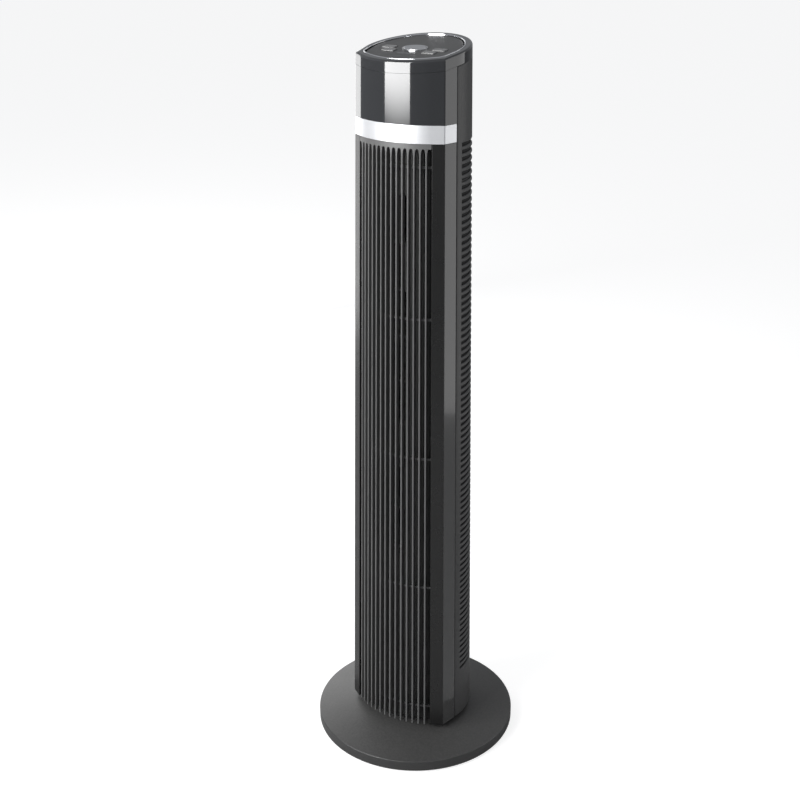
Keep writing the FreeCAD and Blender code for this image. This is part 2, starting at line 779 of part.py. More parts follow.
def make_rear_housing():
    foot, top = float(s.tower_foot), float(top_height) + tall
    trim = math.degrees(float(s.seam_gap) / float(s.rear_radius))
    shell = tapered(closed_path(rear_path(0.0, trim), rear_path(float(s.wall), trim)), foot, top)
    shell = shell.common(sloped_solid(float(seam_height) - float(s.seam_gap)))
    shell = shell.cut(Part.makeCompound(louvre_slots()))
    reach = float(s.rear_radius)
    inlet = Part.makeCylinder(float(s.gland_radius + s.seam_gap), reach,
                              Vector(0, reach / 2, float(s.inlet_height)), Vector(0, 1, 0))
    shaped("rear_housing", shell.cut(inlet))


def louvre_slots():
    """Flat ring sectors on both sides of the spine, each one louvre slot."""
    inner, outer = float(s.rear_radius) * 0.6, float(s.rear_radius) * 1.2
    start = float(s.louvre_margin) - float(s.seam_angle)
    span = 90 - float(s.spine_angle) - start
    slots = []
    for i in range(int(s.louvre_count.value)):
        height = float(band_foot - s.louvre_drop) - float(s.louvre_pitch) * (i + 0.5)
        share = share_at(height)
        centre = scaled(Vector(0, -float(s.rear_centre), 0), height)
        face = Part.Face(Part.Wire([
            Part.Arc(*[centre + polar(outer * share, math.radians(start + span * t))
                       for t in (0, 0.5, 1)]).toShape(),
            Part.makeLine(centre + polar(outer * share, math.radians(start + span)),
                          centre + polar(inner * share, math.radians(start + span))),
            Part.Arc(*[centre + polar(inner * share, math.radians(start + span * t))
                       for t in (1, 0.5, 0)]).toShape(),
            Part.makeLine(centre + polar(inner * share, math.radians(start)),
                          centre + polar(outer * share, math.radians(start)))]))
        slot = face.extrude(Vector(0, 0, float(s.louvre_slot)))
        slots += [slot, slot.mirror(Vector(0, 0, 0), Vector(1, 0, 0))]
    return slots


def make_dust_filter():
    """Foam lining behind the louvres, in three pieces between the decks."""
    outer = float(s.wall + s.seam_gap)
    inner = outer + float(s.filter_thickness)
    sheet = closed_path(rear_path(outer, float(s.filter_trim)),
                        rear_path(inner, float(s.filter_trim)))
    lowest = band_foot - s.louvre_drop - s.louvre_pitch * (s.louvre_count - 0.5)
    spans = [(lowest - s.filter_overlap, floor_foot), (floor_top, roof_foot),
             (roof_top, band_foot)]
    shaped("dust_filter", Part.makeCompound(
        [tapered(sheet, float(low), float(high)) for low, high in spans]))


def make_side_trims():
    """Bevelled trim between the strip and the rear housing, one on each side."""
    outer = side_corners()
    inner = side_corners(float(s.wall))
    gap = (outer[1] - outer[2]).normalize() * float(s.seam_gap)
    right = [outer[1] - gap, outer[2], inner[2], inner[1] - gap]
    for label, spots in (("side_trim_right", right),
                         ("side_trim_left", [mirrored(spot) for spot in right])):
        shaped(label, tapered(polygon(spots), float(s.tower_foot), float(band_foot)))


def make_front_frame():
    """Plain strips, the returns behind them and the inner wall with the outlet."""
    foot, top = float(s.tower_foot), float(band_foot - s.hair_gap)
    half = float(s.grille_angle)
    outer, inner = side_corners(), side_corners(float(s.wall))
    radius = float(s.front_radius)
    screen = radius - float(s.fin_depth) - float(s.screen_gap)
    behind = screen - float(s.screen_wall)
    turn = math.degrees(float(s.wall) / radius)
    strip = [outer[0], outer[1], inner[1], inner[0]]
    back = [front_point(radius, half), front_point(radius, half + turn),
            front_point(behind, half + turn), front_point(behind, half)]
    wall_path = [(front_point(screen, -half), front_point(screen, 0), front_point(screen, half)),
                 (front_point(screen, half), front_point(behind, half)),
                 (front_point(behind, half), front_point(behind, 0), front_point(behind, -half)),
                 (front_point(behind, -half), front_point(screen, -half))]
    parts = [tapered(polygon(spots), foot, top) for spots in
             (strip, back, [mirrored(p) for p in strip], [mirrored(p) for p in back])]
    frame = tapered(wall_path, foot, top).fuse(parts)
    width = float(s.outlet_left) + float(s.outlet_right)
    outlet = Part.makeBox(width, radius, float(wheel_length),
                          Vector(-float(s.outlet_left), -1.2 * radius, float(wheel_foot)))
    shaped("front_frame", frame.cut(outlet).removeSplitter())


def fin_angles():
    count = int(s.fin_count.value)
    return [(i - (count - 1) / 2) * float(s.fin_pitch) for i in range(count)]


def fin_section(degrees, thickness):
    """Four plan corners of one fin, square to the grille's curve."""
    radius = float(s.front_radius)
    depth = float(s.fin_depth)
    middle = front_point(radius, degrees)
    turn = math.radians(degrees)
    outward = Vector(math.sin(turn), -math.cos(turn), 0)
    across = Vector(math.cos(turn), math.sin(turn), 0) * (thickness / 2)
    deep = middle - outward * depth
    back = across * float(s.fin_back)
    return [middle - across, middle + across, deep + back, deep - back]


def arc_band(outer, inner, half):
    return [(front_point(outer, -half), front_point(outer, 0), front_point(outer, half)),
            (front_point(outer, half), front_point(inner, half)),
            (front_point(inner, half), front_point(inner, 0), front_point(inner, -half)),
            (front_point(inner, -half), front_point(outer, -half))]


def make_front_grille():
    """Upright fins hanging like a comb from their header, with rails behind."""
    foot, top = float(s.tower_foot), float(band_foot - s.hair_gap)
    header = top - float(s.header_height)
    flare = header - float(s.fin_flare)
    radius = float(s.front_radius)
    half = float(s.grille_angle) - math.degrees(float(s.seam_gap) / radius)
    thin = float(s.fin_thickness)
    wide = radius * math.radians(float(s.fin_pitch)) * float(s.fin_wide)
    pieces = [tapered(arc_band(radius, radius - float(s.fin_depth), half), header, top)]
    for degrees in fin_angles():
        section = fin_section(degrees, thin)
        pieces.append(tapered(polygon(section), foot, header))
        low = wire_at(polygon(section), flare)
        high = wire_at(polygon(fin_section(degrees, wide)), header)
        pieces.append(Part.makeLoft([low, high], True, True))
    depth = radius - float(s.fin_depth)
    count, margin = int(s.rail_count.value), float(s.rail_margin)
    for i in range(count):
        height = foot + margin + (header - foot - 2 * margin) * i / (count - 1)
        rail = arc_band(depth + float(s.rail_depth), depth, half)
        pieces.append(tapered(rail, height, height + float(s.rail_height)))
    comb = pieces[0].fuse(pieces[1:])
    shaped("front_grille", comb.cut(fin_chisel(foot)).removeSplitter())


def fin_chisel(foot):
    """Ring with a sloping top that trims the lower ends of the fins."""
    radius, depth = float(s.front_radius), float(s.fin_depth)
    corners = [Vector(radius + 0.5, 0, foot - 1), Vector(radius - depth - 2, 0, foot - 1),
               Vector(radius - depth - 2, 0, foot + depth), Vector(radius + 0.5, 0, foot)]
    ring = Part.Face(Part.makePolygon(corners + corners[:1])).revolve(
        Vector(0, 0, 0), Vector(0, 0, 1), 360)
    ring.translate(Vector(0, front_centre(), 0))
    return ring


def make_swivel_plate():
    """Closes the tower's foot and turns on the post with a short neck and hub."""
    hub_radius = s.post_radius + s.hub_wall
    deck = tapered(deck_outline(), float(s.tower_foot), float(closure_top))
    neck = Part.makeCylinder(float(s.neck_radius), float(s.tower_foot - hub_foot),
                             Vector(0, 0, float(hub_foot)))
    hub = Part.makeCylinder(float(hub_radius), float(closure_top + s.gear_lift - hub_foot),
                            Vector(0, 0, float(hub_foot)))
    bore = Part.makeCylinder(float(s.post_radius + s.running_gap), float(gear_top),
                             Vector(0, 0, float(hub_foot) - past))
    shaped("swivel_plate", deck.fuse([neck, hub]).cut(bore).removeSplitter())


def deck_outline():
    """Outline of a deck: the rear curve inside the housing, cut off square in front."""
    inset = float(s.wall) + float(s.seam_gap)
    radius = float(s.rear_radius) - inset
    front = float(s.deck_front) - float(s.rear_centre)
    start = -math.degrees(math.asin(front / radius))
    left, right = rear_point(radius, 180 - start), rear_point(radius, start)
    return [(right, rear_point(radius, 90), left), (left, right)]


def make_decks():
    axis = Vector(0, float(s.axis_back), 0)
    for label, foot in (("duct_floor", floor_foot), ("duct_roof", roof_foot)):
        deck = tapered(deck_outline(), float(foot), float(foot + s.deck_thickness))
        hole = Part.makeCylinder(float(s.deck_bore), float(s.deck_thickness) + 2 * past,
                                 axis + Vector(0, 0, float(foot) - past))
        shaped(label, deck.cut(hole))
    head_foot = float(band_foot + s.head_deck_lift)
    shaped("head_deck", tapered(deck_outline(), head_foot, head_foot + float(s.deck_thickness)))


def make_band_and_head():
    """Silver band and gloss head: the same wall, one above the other."""
    wall = closed_path(front_path(0.0), front_path(float(s.wall)))
    gap = float(s.seam_gap)
    shaped("silver_band", tapered(wall, float(band_foot), float(band_top)))
    head = tapered(wall, float(band_top), float(top_height) + tall)
    shaped("head_shell", head.common(sloped_solid(float(seam_height) - gap)))


def make_cap():
    """Cap with a bevelled shoulder, a recess for the panel and a ledge under it."""
    low, high = float(band_top), float(top_height) + tall
    body = tapered(full_outline(0.0), low, high).common(sloped_solid(float(top_height)))
    body = body.cut(sloped_solid(float(seam_height)))
    top_edges = [edge for edge in body.Edges if min(v.Z for v in edge.Vertexes) >
                 float(top_height) - 0.5 and edge_is_on_top(edge)]
    body = body.makeChamfer(float(s.cap_bevel), top_edges)
    inside = prism(float(s.wall), high).common(
        sloped_solid(float(top_height) - float(s.panel_thickness) * 2))
    recess = rounded_prism(float(s.rim_inset), high).cut(sloped_solid(
        float(top_height) - float(s.panel_thickness) - float(s.panel_drop)))
    mouth = rounded_prism(float(s.rim_inset + s.rim_width + s.ledge_width), high)
    shaped("top_cap", body.cut([inside, recess, mouth]))


def edge_is_on_top(edge):
    slope = math.tan(math.radians(float(s.top_slope)))
    return all(abs(v.Z - float(top_height) - (v.Y + float(s.front_reach)) * slope) < 0.05
               for v in edge.Vertexes)


def prism(inset, top):
    """Upright prism of the outline just under the top, set in by a distance."""
    face = offset_face(inset, float(top_height))
    face.translate(Vector(0, 0, -float(top_height)))
    return face.extrude(Vector(0, 0, top))


def rounded_prism(inset, top):
    """The same prism with rounded corners, which shrink as it is set in further."""
    lump = prism(inset, top)
    corner = float(s.rim_corner + s.rim_inset) - inset
    upright = [e for e in lump.Edges if abs(e.Vertexes[0].Z - e.Vertexes[-1].Z) > top / 2
               and is_corner(e, lump)]
    return lump.makeFillet(corner, upright)


def is_corner(edge, lump):
    """True where two upright faces meet at more than a slight angle."""
    faces = [f for f in lump.Faces if any(edge.isSame(e) for e in f.Edges)]
    spot = edge.Vertexes[0].Point
    first, second = [f.normalAt(*f.Surface.parameter(spot)) for f in faces]
    return math.degrees(first.getAngle(second)) > 5


def between(solid, low, high):
    """The part of a solid between two of the sloped planes."""
    return solid.common(sloped_solid(high)).cut(sloped_solid(low))


POST_ROOT = 0.5  # posts of the panel, into its plate


def make_panel():
    high = float(top_height) + tall
    gap = float(s.hair_gap)
    face = float(top_height) - float(s.panel_drop)
    floor = face - float(s.panel_thickness)
    ring = rounded_prism(float(s.rim_inset) + gap, high).cut(
        rounded_prism(float(s.rim_inset + s.rim_width), high))
    shaped("panel_rim", between(ring, floor, float(top_height + s.rim_stand)))
    plate = between(rounded_prism(float(s.rim_inset + s.rim_width) + gap, high), floor, face)
    holes = [button_hole(*spot) for spot in key_spots()] + [power_hole()]
    posts = []
    for x, y in post_spots():
        post = Part.makeCylinder(float(s.fixing_radius), float(s.board_drop) + POST_ROOT)
        post = post.cut(Part.makeCylinder(float(s.fixing_screw + s.running_gap),
                                          float(s.board_drop) - 2))
        post.Placement = on_top(x, y, panel_floor() + float(s.board_drop))
        posts.append(post)
    plate = plate.fuse(posts).cut(holes)
    shaped("control_panel", plate.cut(lens_shape(gap)))
    shaped("indicator_lens", lens_shape(0.0))


def panel_face():
    """Depth of the panel's face below the cap's, square to the slope."""
    return float(s.panel_drop) * math.cos(math.radians(float(s.top_slope)))


def panel_floor():
    """Depth of the panel's underside below the cap's face."""
    return panel_face() + float(s.panel_thickness) * math.cos(math.radians(float(s.top_slope)))


def lens_shape(gap):
    """Clear strip over the indicator lamps, in front of the power button."""
    length, depth = float(s.lens_length) + 2 * gap, float(s.lens_depth) + 2 * gap
    thick = float(s.lens_thickness) + gap
    strip = Part.makeBox(length, depth, thick, Vector(-length / 2, -depth / 2, 0))
    strip.Placement = on_top(0, -float(s.power_forward + s.lens_forward),
                             panel_face() + thick)
    return strip


CUTTER_HEIGHT = 20.0  # cutters through the panel, half above and half below


def key_spots():
    """Name and plan place of the four flat keys."""
    near, far = float(s.key_out - s.key_shift), float(s.key_out + s.key_spread)
    front, back = -float(s.key_front), -float(s.key_back)
    return [("speed_key", -near, front), ("timer_key", -far, back),
            ("swing_key", near, front), ("mode_key", far, back)]


def post_spots():
    side, front = float(s.fixing_side), float(s.fixing_front)
    back_side, back = float(s.fixing_back_side), float(s.fixing_back)
    return [(-side, front), (side, front), (-back_side, back), (back_side, back)]


def button_hole(label, x, y):
    return key_shape(x, y, float(s.key_gap), CUTTER_HEIGHT, CUTTER_HEIGHT / 2)


def key_shape(x, y, gap, height, stand):
    """Flat key with rounded upright edges, standing above the panel."""
    length, depth = float(s.key_length) + 2 * gap, float(s.key_depth) + 2 * gap
    key = Part.makeBox(length, depth, height, Vector(-length / 2, -depth / 2, 0))
    upright = [e for e in key.Edges if abs(e.Vertexes[0].Z - e.Vertexes[1].Z) > 1]
    key = key.makeFillet(float(s.key_corner) + gap, upright)
    key.Placement = on_top(x, y, panel_face() + height - stand)
    return key


def power_shape(gap, height, stand):
    """Oval power button."""
    ellipse = Part.Ellipse(Vector(0, 0, 0), float(s.power_length) / 2 + gap,
                           float(s.power_depth) / 2 + gap)
    button = Part.Face(Part.Wire(ellipse.toShape())).extrude(Vector(0, 0, height))
    button.Placement = on_top(0, -float(s.power_forward), panel_face() + height - stand)
    return button


def power_hole():
    return power_shape(float(s.bezel_width + s.hair_gap), CUTTER_HEIGHT, CUTTER_HEIGHT / 2)


def make_buttons():
    height, stand = float(s.key_height), float(s.key_stand)
    for label, x, y in key_spots():
        shaped(label, key_shape(x, y, 0.0, height, stand))
    extra = float(s.power_stand)
    shaped("power_button", power_shape(0.0, height + extra, stand + extra))
    ring_height = float(s.panel_thickness + s.bezel_stand)
    ring = power_shape(float(s.bezel_width), ring_height, float(s.bezel_stand)).cut(
        power_shape(float(s.key_gap), CUTTER_HEIGHT, CUTTER_HEIGHT / 2))
    shaped("button_bezel", ring)


def make_control_board():
    """Board under the panel with a switch below every button."""
    drop = panel_floor() + float(s.board_drop)
    thick, radius = float(s.board_thickness), float(s.control_board_radius)
    board = Part.makeCylinder(radius, thick)
    front = float(s.control_board_front)
    board = board.common(Part.makeBox(2 * radius, radius + front, thick,
                                      Vector(-radius, -front, 0)))
    hole = float(s.fixing_screw + s.seam_gap)
    for x, y in post_spots():
        board = board.cut(Part.makeCylinder(hole, thick + 2 * past, Vector(x, y, -past)))
    board.Placement = on_top(0, 0, drop + thick)
    shaped("control_board", board)
    key_foot = float(s.key_height - s.key_stand + s.panel_drop)
    size, height = float(s.switch_size), drop - key_foot - float(s.switch_travel)
    switches = []
    for x, y in [(x, y) for label, x, y in key_spots()] + [(0, -float(s.power_forward))]:
        switch = Part.makeBox(size, size, height, Vector(-size / 2, -size / 2, 0))
        switch.Placement = on_top(x, y, drop)
        switches.append(switch)
    shaped("tact_switches", Part.makeCompound(switches))
    for i, (x, y) in enumerate(post_spots()):
        head_height = float(s.screw_head_height)
        piece = Part.makeCylinder(float(s.screw_head_radius - s.seam_gap), head_height,
                                  Vector(0, 0, -head_height)).fuse(
            Part.makeCylinder(float(s.fixing_screw), float(s.board_drop) - 2))
        piece.Placement = on_top(x, y, drop + thick)
        fastener = doc.addObject("Part::Feature", f"board_screw_{i}")
        fastener.Shape = piece
        tower_screws.append(fastener)
    buzzer = Part.makeCylinder(float(s.buzzer_radius), float(s.buzzer_height))
    buzzer.Placement = on_top(20, 16, drop)
    shaped("buzzer", buzzer)
    receiver = Part.makeBox(6, 4, 5, Vector(-3, -2, 0))
    receiver.Placement = on_top(0, -27, drop)
    shaped("remote_receiver", receiver)


# ---- blower ---------------------------------------------------------------------


def blade_face():
    """Plan outline of one forward-curved blade at the wheel's +X side."""
    outer = float(s.wheel_radius) - 0.4
    inner = outer - float(s.blade_depth)
    half = float(s.blade_thickness) / 2
    middle = (outer + inner) / 2
    near = [Vector(inner, -half, 0), Vector(middle, 1.2 - half, 0), Vector(outer, 4 - half, 0)]
    far = [spot + Vector(0, 2 * half, 0) for spot in near]
    return Part.Face(Part.Wire([
        Part.Arc(*near).toShape(), Part.makeLine(near[2], far[2]),
        Part.Arc(far[2], far[1], far[0]).toShape(), Part.makeLine(far[0], near[0])]))


def wheel_segment(foot, turn):
    """One ring of blades closed by a thin ring on top."""
    height = float(s.segment_pitch) - float(s.disc_thickness)
    blades = []
    for i in range(int(s.blade_count.value)):
        blade = blade_face().extrude(Vector(0, 0, height))
        blade.rotate(Vector(0, 0, 0), Vector(0, 0, 1), turn + 360 * i / s.blade_count.value)
        blades.append(blade)
    ring = Part.makeCylinder(float(s.wheel_radius), float(s.disc_thickness), Vector(0, 0, height))
    hole = Part.makeCylinder(float(s.wheel_radius) - float(s.blade_depth) - 1.5, height * 2)
    segment = ring.cut(hole).fuse(blades)
    segment.translate(Vector(0, float(s.axis_back), foot))
    return segment


def make_wheel():
    segments = []
    for i in range(int(s.segment_count.value)):
        foot = float(wheel_foot) + i * float(s.segment_pitch)
        segments.append(wheel_segment(foot, i * 3.0))
    shaped("wheel_segments", Part.makeCompound(segments))
    turned("wheel_base", [
        (s.shaft_radius, s.wheel_bottom - 6), (s.shaft_radius + 5, s.wheel_bottom - 6),
        (s.shaft_radius + 5, s.wheel_bottom), (s.wheel_radius, s.wheel_bottom),
        (s.wheel_radius, wheel_foot), (s.shaft_radius, wheel_foot)], 0, s.axis_back)
    stub_top = roof_top + s.stub_radius
    turned("wheel_top", [
        (zero, wheel_top), (s.wheel_radius, wheel_top),
        (s.wheel_radius, wheel_top + s.disc_thickness),
        (s.stub_radius, wheel_top + s.disc_thickness), (s.stub_radius, stub_top),
        (zero, stub_top)], 0, s.axis_back)


def make_duct():
    """Scroll and lip that lead the air from the wheel to the outlet."""
    low, high = float(floor_top), float(roof_foot)
    axis = Vector(0, float(s.axis_back), 0)
    start = float(s.wheel_radius) + float(s.scroll_gap)
    thick = float(s.scroll_wall)

    def spot(radius, degrees):
        return axis + polar(radius, math.radians(degrees))

    curve = [(start, 125), (start + 1.5, 172), (start + 4.0, 219)]
    inner = [spot(radius, turn) for radius, turn in curve]
    outer = [spot(radius + thick, turn) for radius, turn in curve]
    scroll = Part.Face(Part.Wire([
        Part.Arc(*inner).toShape(), Part.makeLine(inner[2], outer[2]),
        Part.Arc(*reversed(outer)).toShape(), Part.makeLine(outer[0], inner[0])]))
    near = float(s.wheel_radius) + 2.2
    lip_inner = [spot(near, turn) for turn in (-70, -40, -10)]
    lip_outer = [spot(near + 1.5, turn) for turn in (-70, -40, -10)]
    lip = Part.Face(Part.Wire([
        Part.Arc(*lip_inner).toShape(), Part.makeLine(lip_inner[2], lip_outer[2]),
        Part.Arc(*reversed(lip_outer)).toShape(), Part.makeLine(lip_outer[0], lip_inner[0])]))
    for label, face in (("scroll_wall", scroll), ("outlet_lip", lip)):
        solid = face.extrude(Vector(0, 0, high - low))
        solid.translate(Vector(0, 0, low))
        shaped(label, solid)


def make_motor():
    y = s.axis_back
    radius, wall = s.motor_radius, s.motor_wall
    bush_outer = s.shaft_radius + s.bush_wall
    split = motor_foot + s.motor_height / 2
    flange = radius + s.flange_width
    turned("motor_can", [
        (bush_outer, motor_foot), (radius, motor_foot), (radius, split),
        (radius - wall, split), (radius - wall, motor_foot + wall),
        (bush_outer, motor_foot + wall)], 0, y)
    turned("motor_cap", [
        (bush_outer, motor_top - wall), (radius - wall, motor_top - wall),
        (radius - wall, split), (radius, split), (radius, motor_top - wall),
        (flange, motor_top - wall), (flange, motor_top), (bush_outer, motor_top)], 0, y)
    core_foot, core_top = motor_foot + s.core_inset, motor_top - s.core_inset
    core_inner = s.rotor_radius + s.air_gap
    core_outer = radius - wall
    turned("stator", tube_corners(core_inner, core_outer, core_foot, core_top), 0, y)
    windings = []
    for name, foot in (("lower", core_foot - s.winding_height), ("upper", core_top)):
        ring = cut("winding_" + name,
                   cylinder("winding_body_" + name, core_outer - s.motor_wall,
                            s.winding_height, 0, y, foot),
                   cylinder("winding_hole_" + name, core_inner + s.air_gap * 2,
                            s.winding_height + 2 * past, 0, y, foot - past))
        windings.append(ring)
    group("windings", windings)
    bushes = []
    for name, foot in (("lower", motor_foot), ("upper", motor_top - s.bush_height)):
        bush = cut("bush_" + name,
                   cylinder("bush_body_" + name, bush_outer, s.bush_height, 0, y, foot),
                   cylinder("bush_bore_" + name, s.shaft_radius + s.running_gap,
                            s.bush_height + 2 * past, 0, y, foot - past))
        bushes.append(bush)
    group("motor_bushes", bushes)
    turned("rotor", tube_corners(s.shaft_radius, s.rotor_radius, core_foot, core_top), 0, y)
    node(cylinder("motor_shaft", s.shaft_radius, s.wheel_bottom - motor_foot + 2, 0, y,
                  motor_foot - 2), "motor_shaft")
    make_motor_mounting(flange)


def make_motor_mounting(flange):
    """Rubber mounts, bracket and screws that hang the motor from the duct floor."""
    circle = flange - s.flange_width / 2
    spots = [(x, y + s.axis_back) for x, y in around(4, circle, 45.0)]
    bracket_foot = motor_top + s.mount_height
    thickness = s.mount_thickness
    group("motor_mounts", [
        cut(f"mount_{i}", cylinder(f"mount_body_{i}", s.mount_radius, s.mount_height, x, y,
                                   motor_top),
            cylinder(f"mount_bore_{i}", s.screw_radius + s.hair_gap, s.mount_height + 2 * past,
                     x, y, motor_top - past))
        for i, (x, y) in enumerate(spots)])
    plate = cylinder("bracket_disc", flange, thickness, 0, s.axis_back, bracket_foot)
    posts = [cylinder(f"bracket_post_{i}", s.mount_post_radius, floor_foot - bracket_foot, x,
                      y + s.axis_back, bracket_foot)
             for i, (x, y) in enumerate(around(4, circle, 0.0))]
    hole_foot, hole_height = bracket_foot - past, thickness + 2 * past
    holes = [cylinder("bracket_bore", s.deck_bore, hole_height, 0, s.axis_back, hole_foot)]
    holes += [cylinder(f"bracket_screw_hole_{i}", s.screw_radius + s.seam_gap, hole_height, x,
                       y, hole_foot) for i, (x, y) in enumerate(spots)]
    bracket = cut("motor_bracket", joined("bracket_solid", [plate] + posts),
                  joined("bracket_holes", holes))
    node(bracket, "motor_bracket")
    tower_screws.extend(screw(f"motor_screw_{i}", x, y, bracket_foot + thickness,
                              s.mount_height + thickness) for i, (x, y) in enumerate(spots))
    group("tower_screws", tower_screws)


def make_top_bearing():
    y = s.axis_back
    bush_outer = s.stub_radius + s.bush_wall
    lip_top = roof_top + s.holder_lip
    turned("top_bush", tube_corners(s.stub_radius + s.running_gap, bush_outer,
                                    roof_foot - s.holder_lip, lip_top), 0, y)
    holder, rim = s.deck_bore, s.deck_bore + s.holder_rim
    turned("bush_holder", [
        (bush_outer, roof_foot), (holder, roof_foot), (holder, roof_top),
        (rim, roof_top), (rim, lip_top), (bush_outer, lip_top)], 0, y)


# ---- electrics ------------------------------------------------------------------


def make_electrics():
    """Power board on two rails in the foot of the tower, and the cord inlet."""
    rail_top = s.board_foot + s.board_height
    board_out, slot_foot = s.board_length / 2, s.board_foot - s.seam_gap
    middle = board_out + s.rail_size / 2 - s.rail_grip
    rails = []
    for i, (out, side) in enumerate(((-middle, 1), (middle, -1))):
        rail = box(f"rail_body_{i}", s.rail_size, s.rail_size, rail_top - closure_top, out,
                   s.board_back, closure_top)
        slot = box(f"rail_slot_{i}", s.rail_size, s.rail_slot, s.board_height + 2 * past,
                   out + s.rail_grip * side, s.board_back, slot_foot)
        rails.append(cut(f"rail_{i}", rail, slot))
    group("board_rails", rails)
    node(box("power_board", s.board_length, s.board_thickness, s.board_height, zero,
             s.board_back, s.board_foot), "power_board")
    make_board_parts()
    make_cord_gland()


def make_board_parts():
    """Transformer, two capacitors and a relay, standing on the power board."""
    face = float(s.board_back - s.board_thickness / 2)
    foot = float(s.board_foot)
    parts = [Part.makeBox(24, 18, 20, Vector(-28, face - 18, foot + 6)),
             Part.makeCylinder(6, 16, Vector(12, face, foot + 14), Vector(0, -1, 0)),
             Part.makeCylinder(4, 12, Vector(12, face, foot + 32), Vector(0, -1, 0)),
             Part.makeBox(16, 8, 10, Vector(-20, face - 8, foot + 34))]
    shaped("board_parts", Part.makeCompound(parts))


def make_cord_gland():
    """Gland low at the back: a flange outside, the body through the wall and a nut."""
    height, backwards = float(s.inlet_height), Vector(0, 1, 0)
    back = scaled(rear_point(float(s.rear_radius), 90), height).y
    inside = back - float(s.wall)
    nut_height, play = float(s.gland_nut_height), 0.8
    body_foot = back - 12
    body = Part.makeCylinder(float(s.gland_radius), back + 2 - body_foot,
                             Vector(0, body_foot, height), backwards)
    flange = Part.makeCylinder(float(s.gland_flange), float(s.gland_flange_height),
                               Vector(0, back + float(s.hair_gap), height), backwards)
    nut = Part.makeCylinder(float(s.gland_nut), nut_height,
                            Vector(0, inside - nut_height - play, height), backwards)
    bore = Part.makeCylinder(float(s.gland_bore), back, Vector(0, body_foot - past, height),
                             backwards)
    shaped("cord_gland", body.fuse([flange, nut]).cut(bore).removeSplitter())


# ---- build and write ------------------------------------------------------------


def check_and_write():
    doc.recompute()
    for thing in doc.Objects:
        if "Invalid" in thing.State or "Error" in thing.State:
            raise RuntimeError(f"{thing.Label} failed: {thing.State}")
    for thing in nodes:
        if thing.Shape.isNull() or not thing.Shape.isValid():
            raise RuntimeError(f"{thing.Label} has no valid shape")
    os.makedirs("parts", exist_ok=True)
    for thing in nodes:
        thing.Shape.exportStep(f"parts/{thing.Label}.step")
    print(len(nodes), "sub-parts written")


make_base()
make_swing_drive()
make_swivel_plate()
make_rear_housing()
make_dust_filter()
make_side_trims()
make_front_frame()
make_front_grille()
make_band_and_head()
make_cap()
make_panel()
make_buttons()
make_control_board()
make_decks()
make_wheel()
make_duct()
make_motor()
make_top_bearing()
make_electrics()
check_and_write()
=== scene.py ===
import json
import math

import bmesh
import bpy
from bmesh.types import BMEdge, BMVert
from mathutils import Matrix, Vector


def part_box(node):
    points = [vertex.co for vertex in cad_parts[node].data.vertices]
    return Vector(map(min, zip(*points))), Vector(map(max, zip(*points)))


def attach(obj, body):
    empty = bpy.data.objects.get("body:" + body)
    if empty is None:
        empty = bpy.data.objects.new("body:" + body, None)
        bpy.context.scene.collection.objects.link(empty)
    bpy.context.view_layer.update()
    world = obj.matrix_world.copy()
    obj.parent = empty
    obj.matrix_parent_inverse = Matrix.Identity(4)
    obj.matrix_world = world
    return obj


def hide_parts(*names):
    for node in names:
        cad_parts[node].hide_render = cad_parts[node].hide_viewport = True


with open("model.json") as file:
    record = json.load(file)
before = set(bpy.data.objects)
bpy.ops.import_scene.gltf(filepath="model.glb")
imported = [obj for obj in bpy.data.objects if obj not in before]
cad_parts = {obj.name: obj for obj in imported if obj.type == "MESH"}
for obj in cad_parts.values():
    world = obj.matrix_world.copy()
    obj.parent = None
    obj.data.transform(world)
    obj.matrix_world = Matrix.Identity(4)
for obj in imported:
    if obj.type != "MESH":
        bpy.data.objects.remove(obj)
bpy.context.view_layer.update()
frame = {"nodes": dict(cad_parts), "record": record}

print("frame loaded:", len(frame["nodes"]), "nodes")


# plan and taper of the tower

# metres, at the height of the tower's foot; the fan faces -Y
tower = dict(
    foot=0.029,
    length=0.676,            # from the foot to the silver band
    taper=0.151,             # share of the width lost over that length
    taperBack=0.0205,        # the taper runs to this line behind the middle
    slope=10.0,              # degrees, the top rises to the back
    frontRadius=0.0998,
    frontReach=0.0603,
    grilleAngle=31.0,
    stripWidth=0.015,
    rearRadius=0.0688,
    rearCentre=0.005,
    seamAngle=10.7,
    wall=0.0025,
    seamGap=0.0002,
)
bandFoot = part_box("silver_band")[0].z
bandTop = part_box("silver_band")[1].z
seamFront = bandTop + 0.046      # seam under the cap, at the front
topFront = seamFront + 0.0115    # upper face of the cap, at the front


def shareAt(height):
    return 1 - tower["taper"] * (height - tower["foot"]) / tower["length"]


def taperStep(low, high):
    # carries points at one height along the taper to another height
    ratio = shareAt(high) / shareAt(low)
    back = tower["taperBack"]
    return (Matrix.Translation((0, back, high)) @ Matrix.Diagonal((ratio, ratio, 1, 1))
            @ Matrix.Translation((0, -back, -low)))


def frontSpot(degrees, inset=0.0):
    turn = math.radians(degrees)
    radius = tower["frontRadius"] - inset
    centre = tower["frontRadius"] - tower["frontReach"]
    return Vector((radius * math.sin(turn), centre - radius * math.cos(turn), 0))


def rearSpot(degrees, inset=0.0):
    turn = math.radians(degrees)
    radius = tower["rearRadius"] - inset
    return Vector((radius * math.cos(turn), radius * math.sin(turn) - tower["rearCentre"], 0))


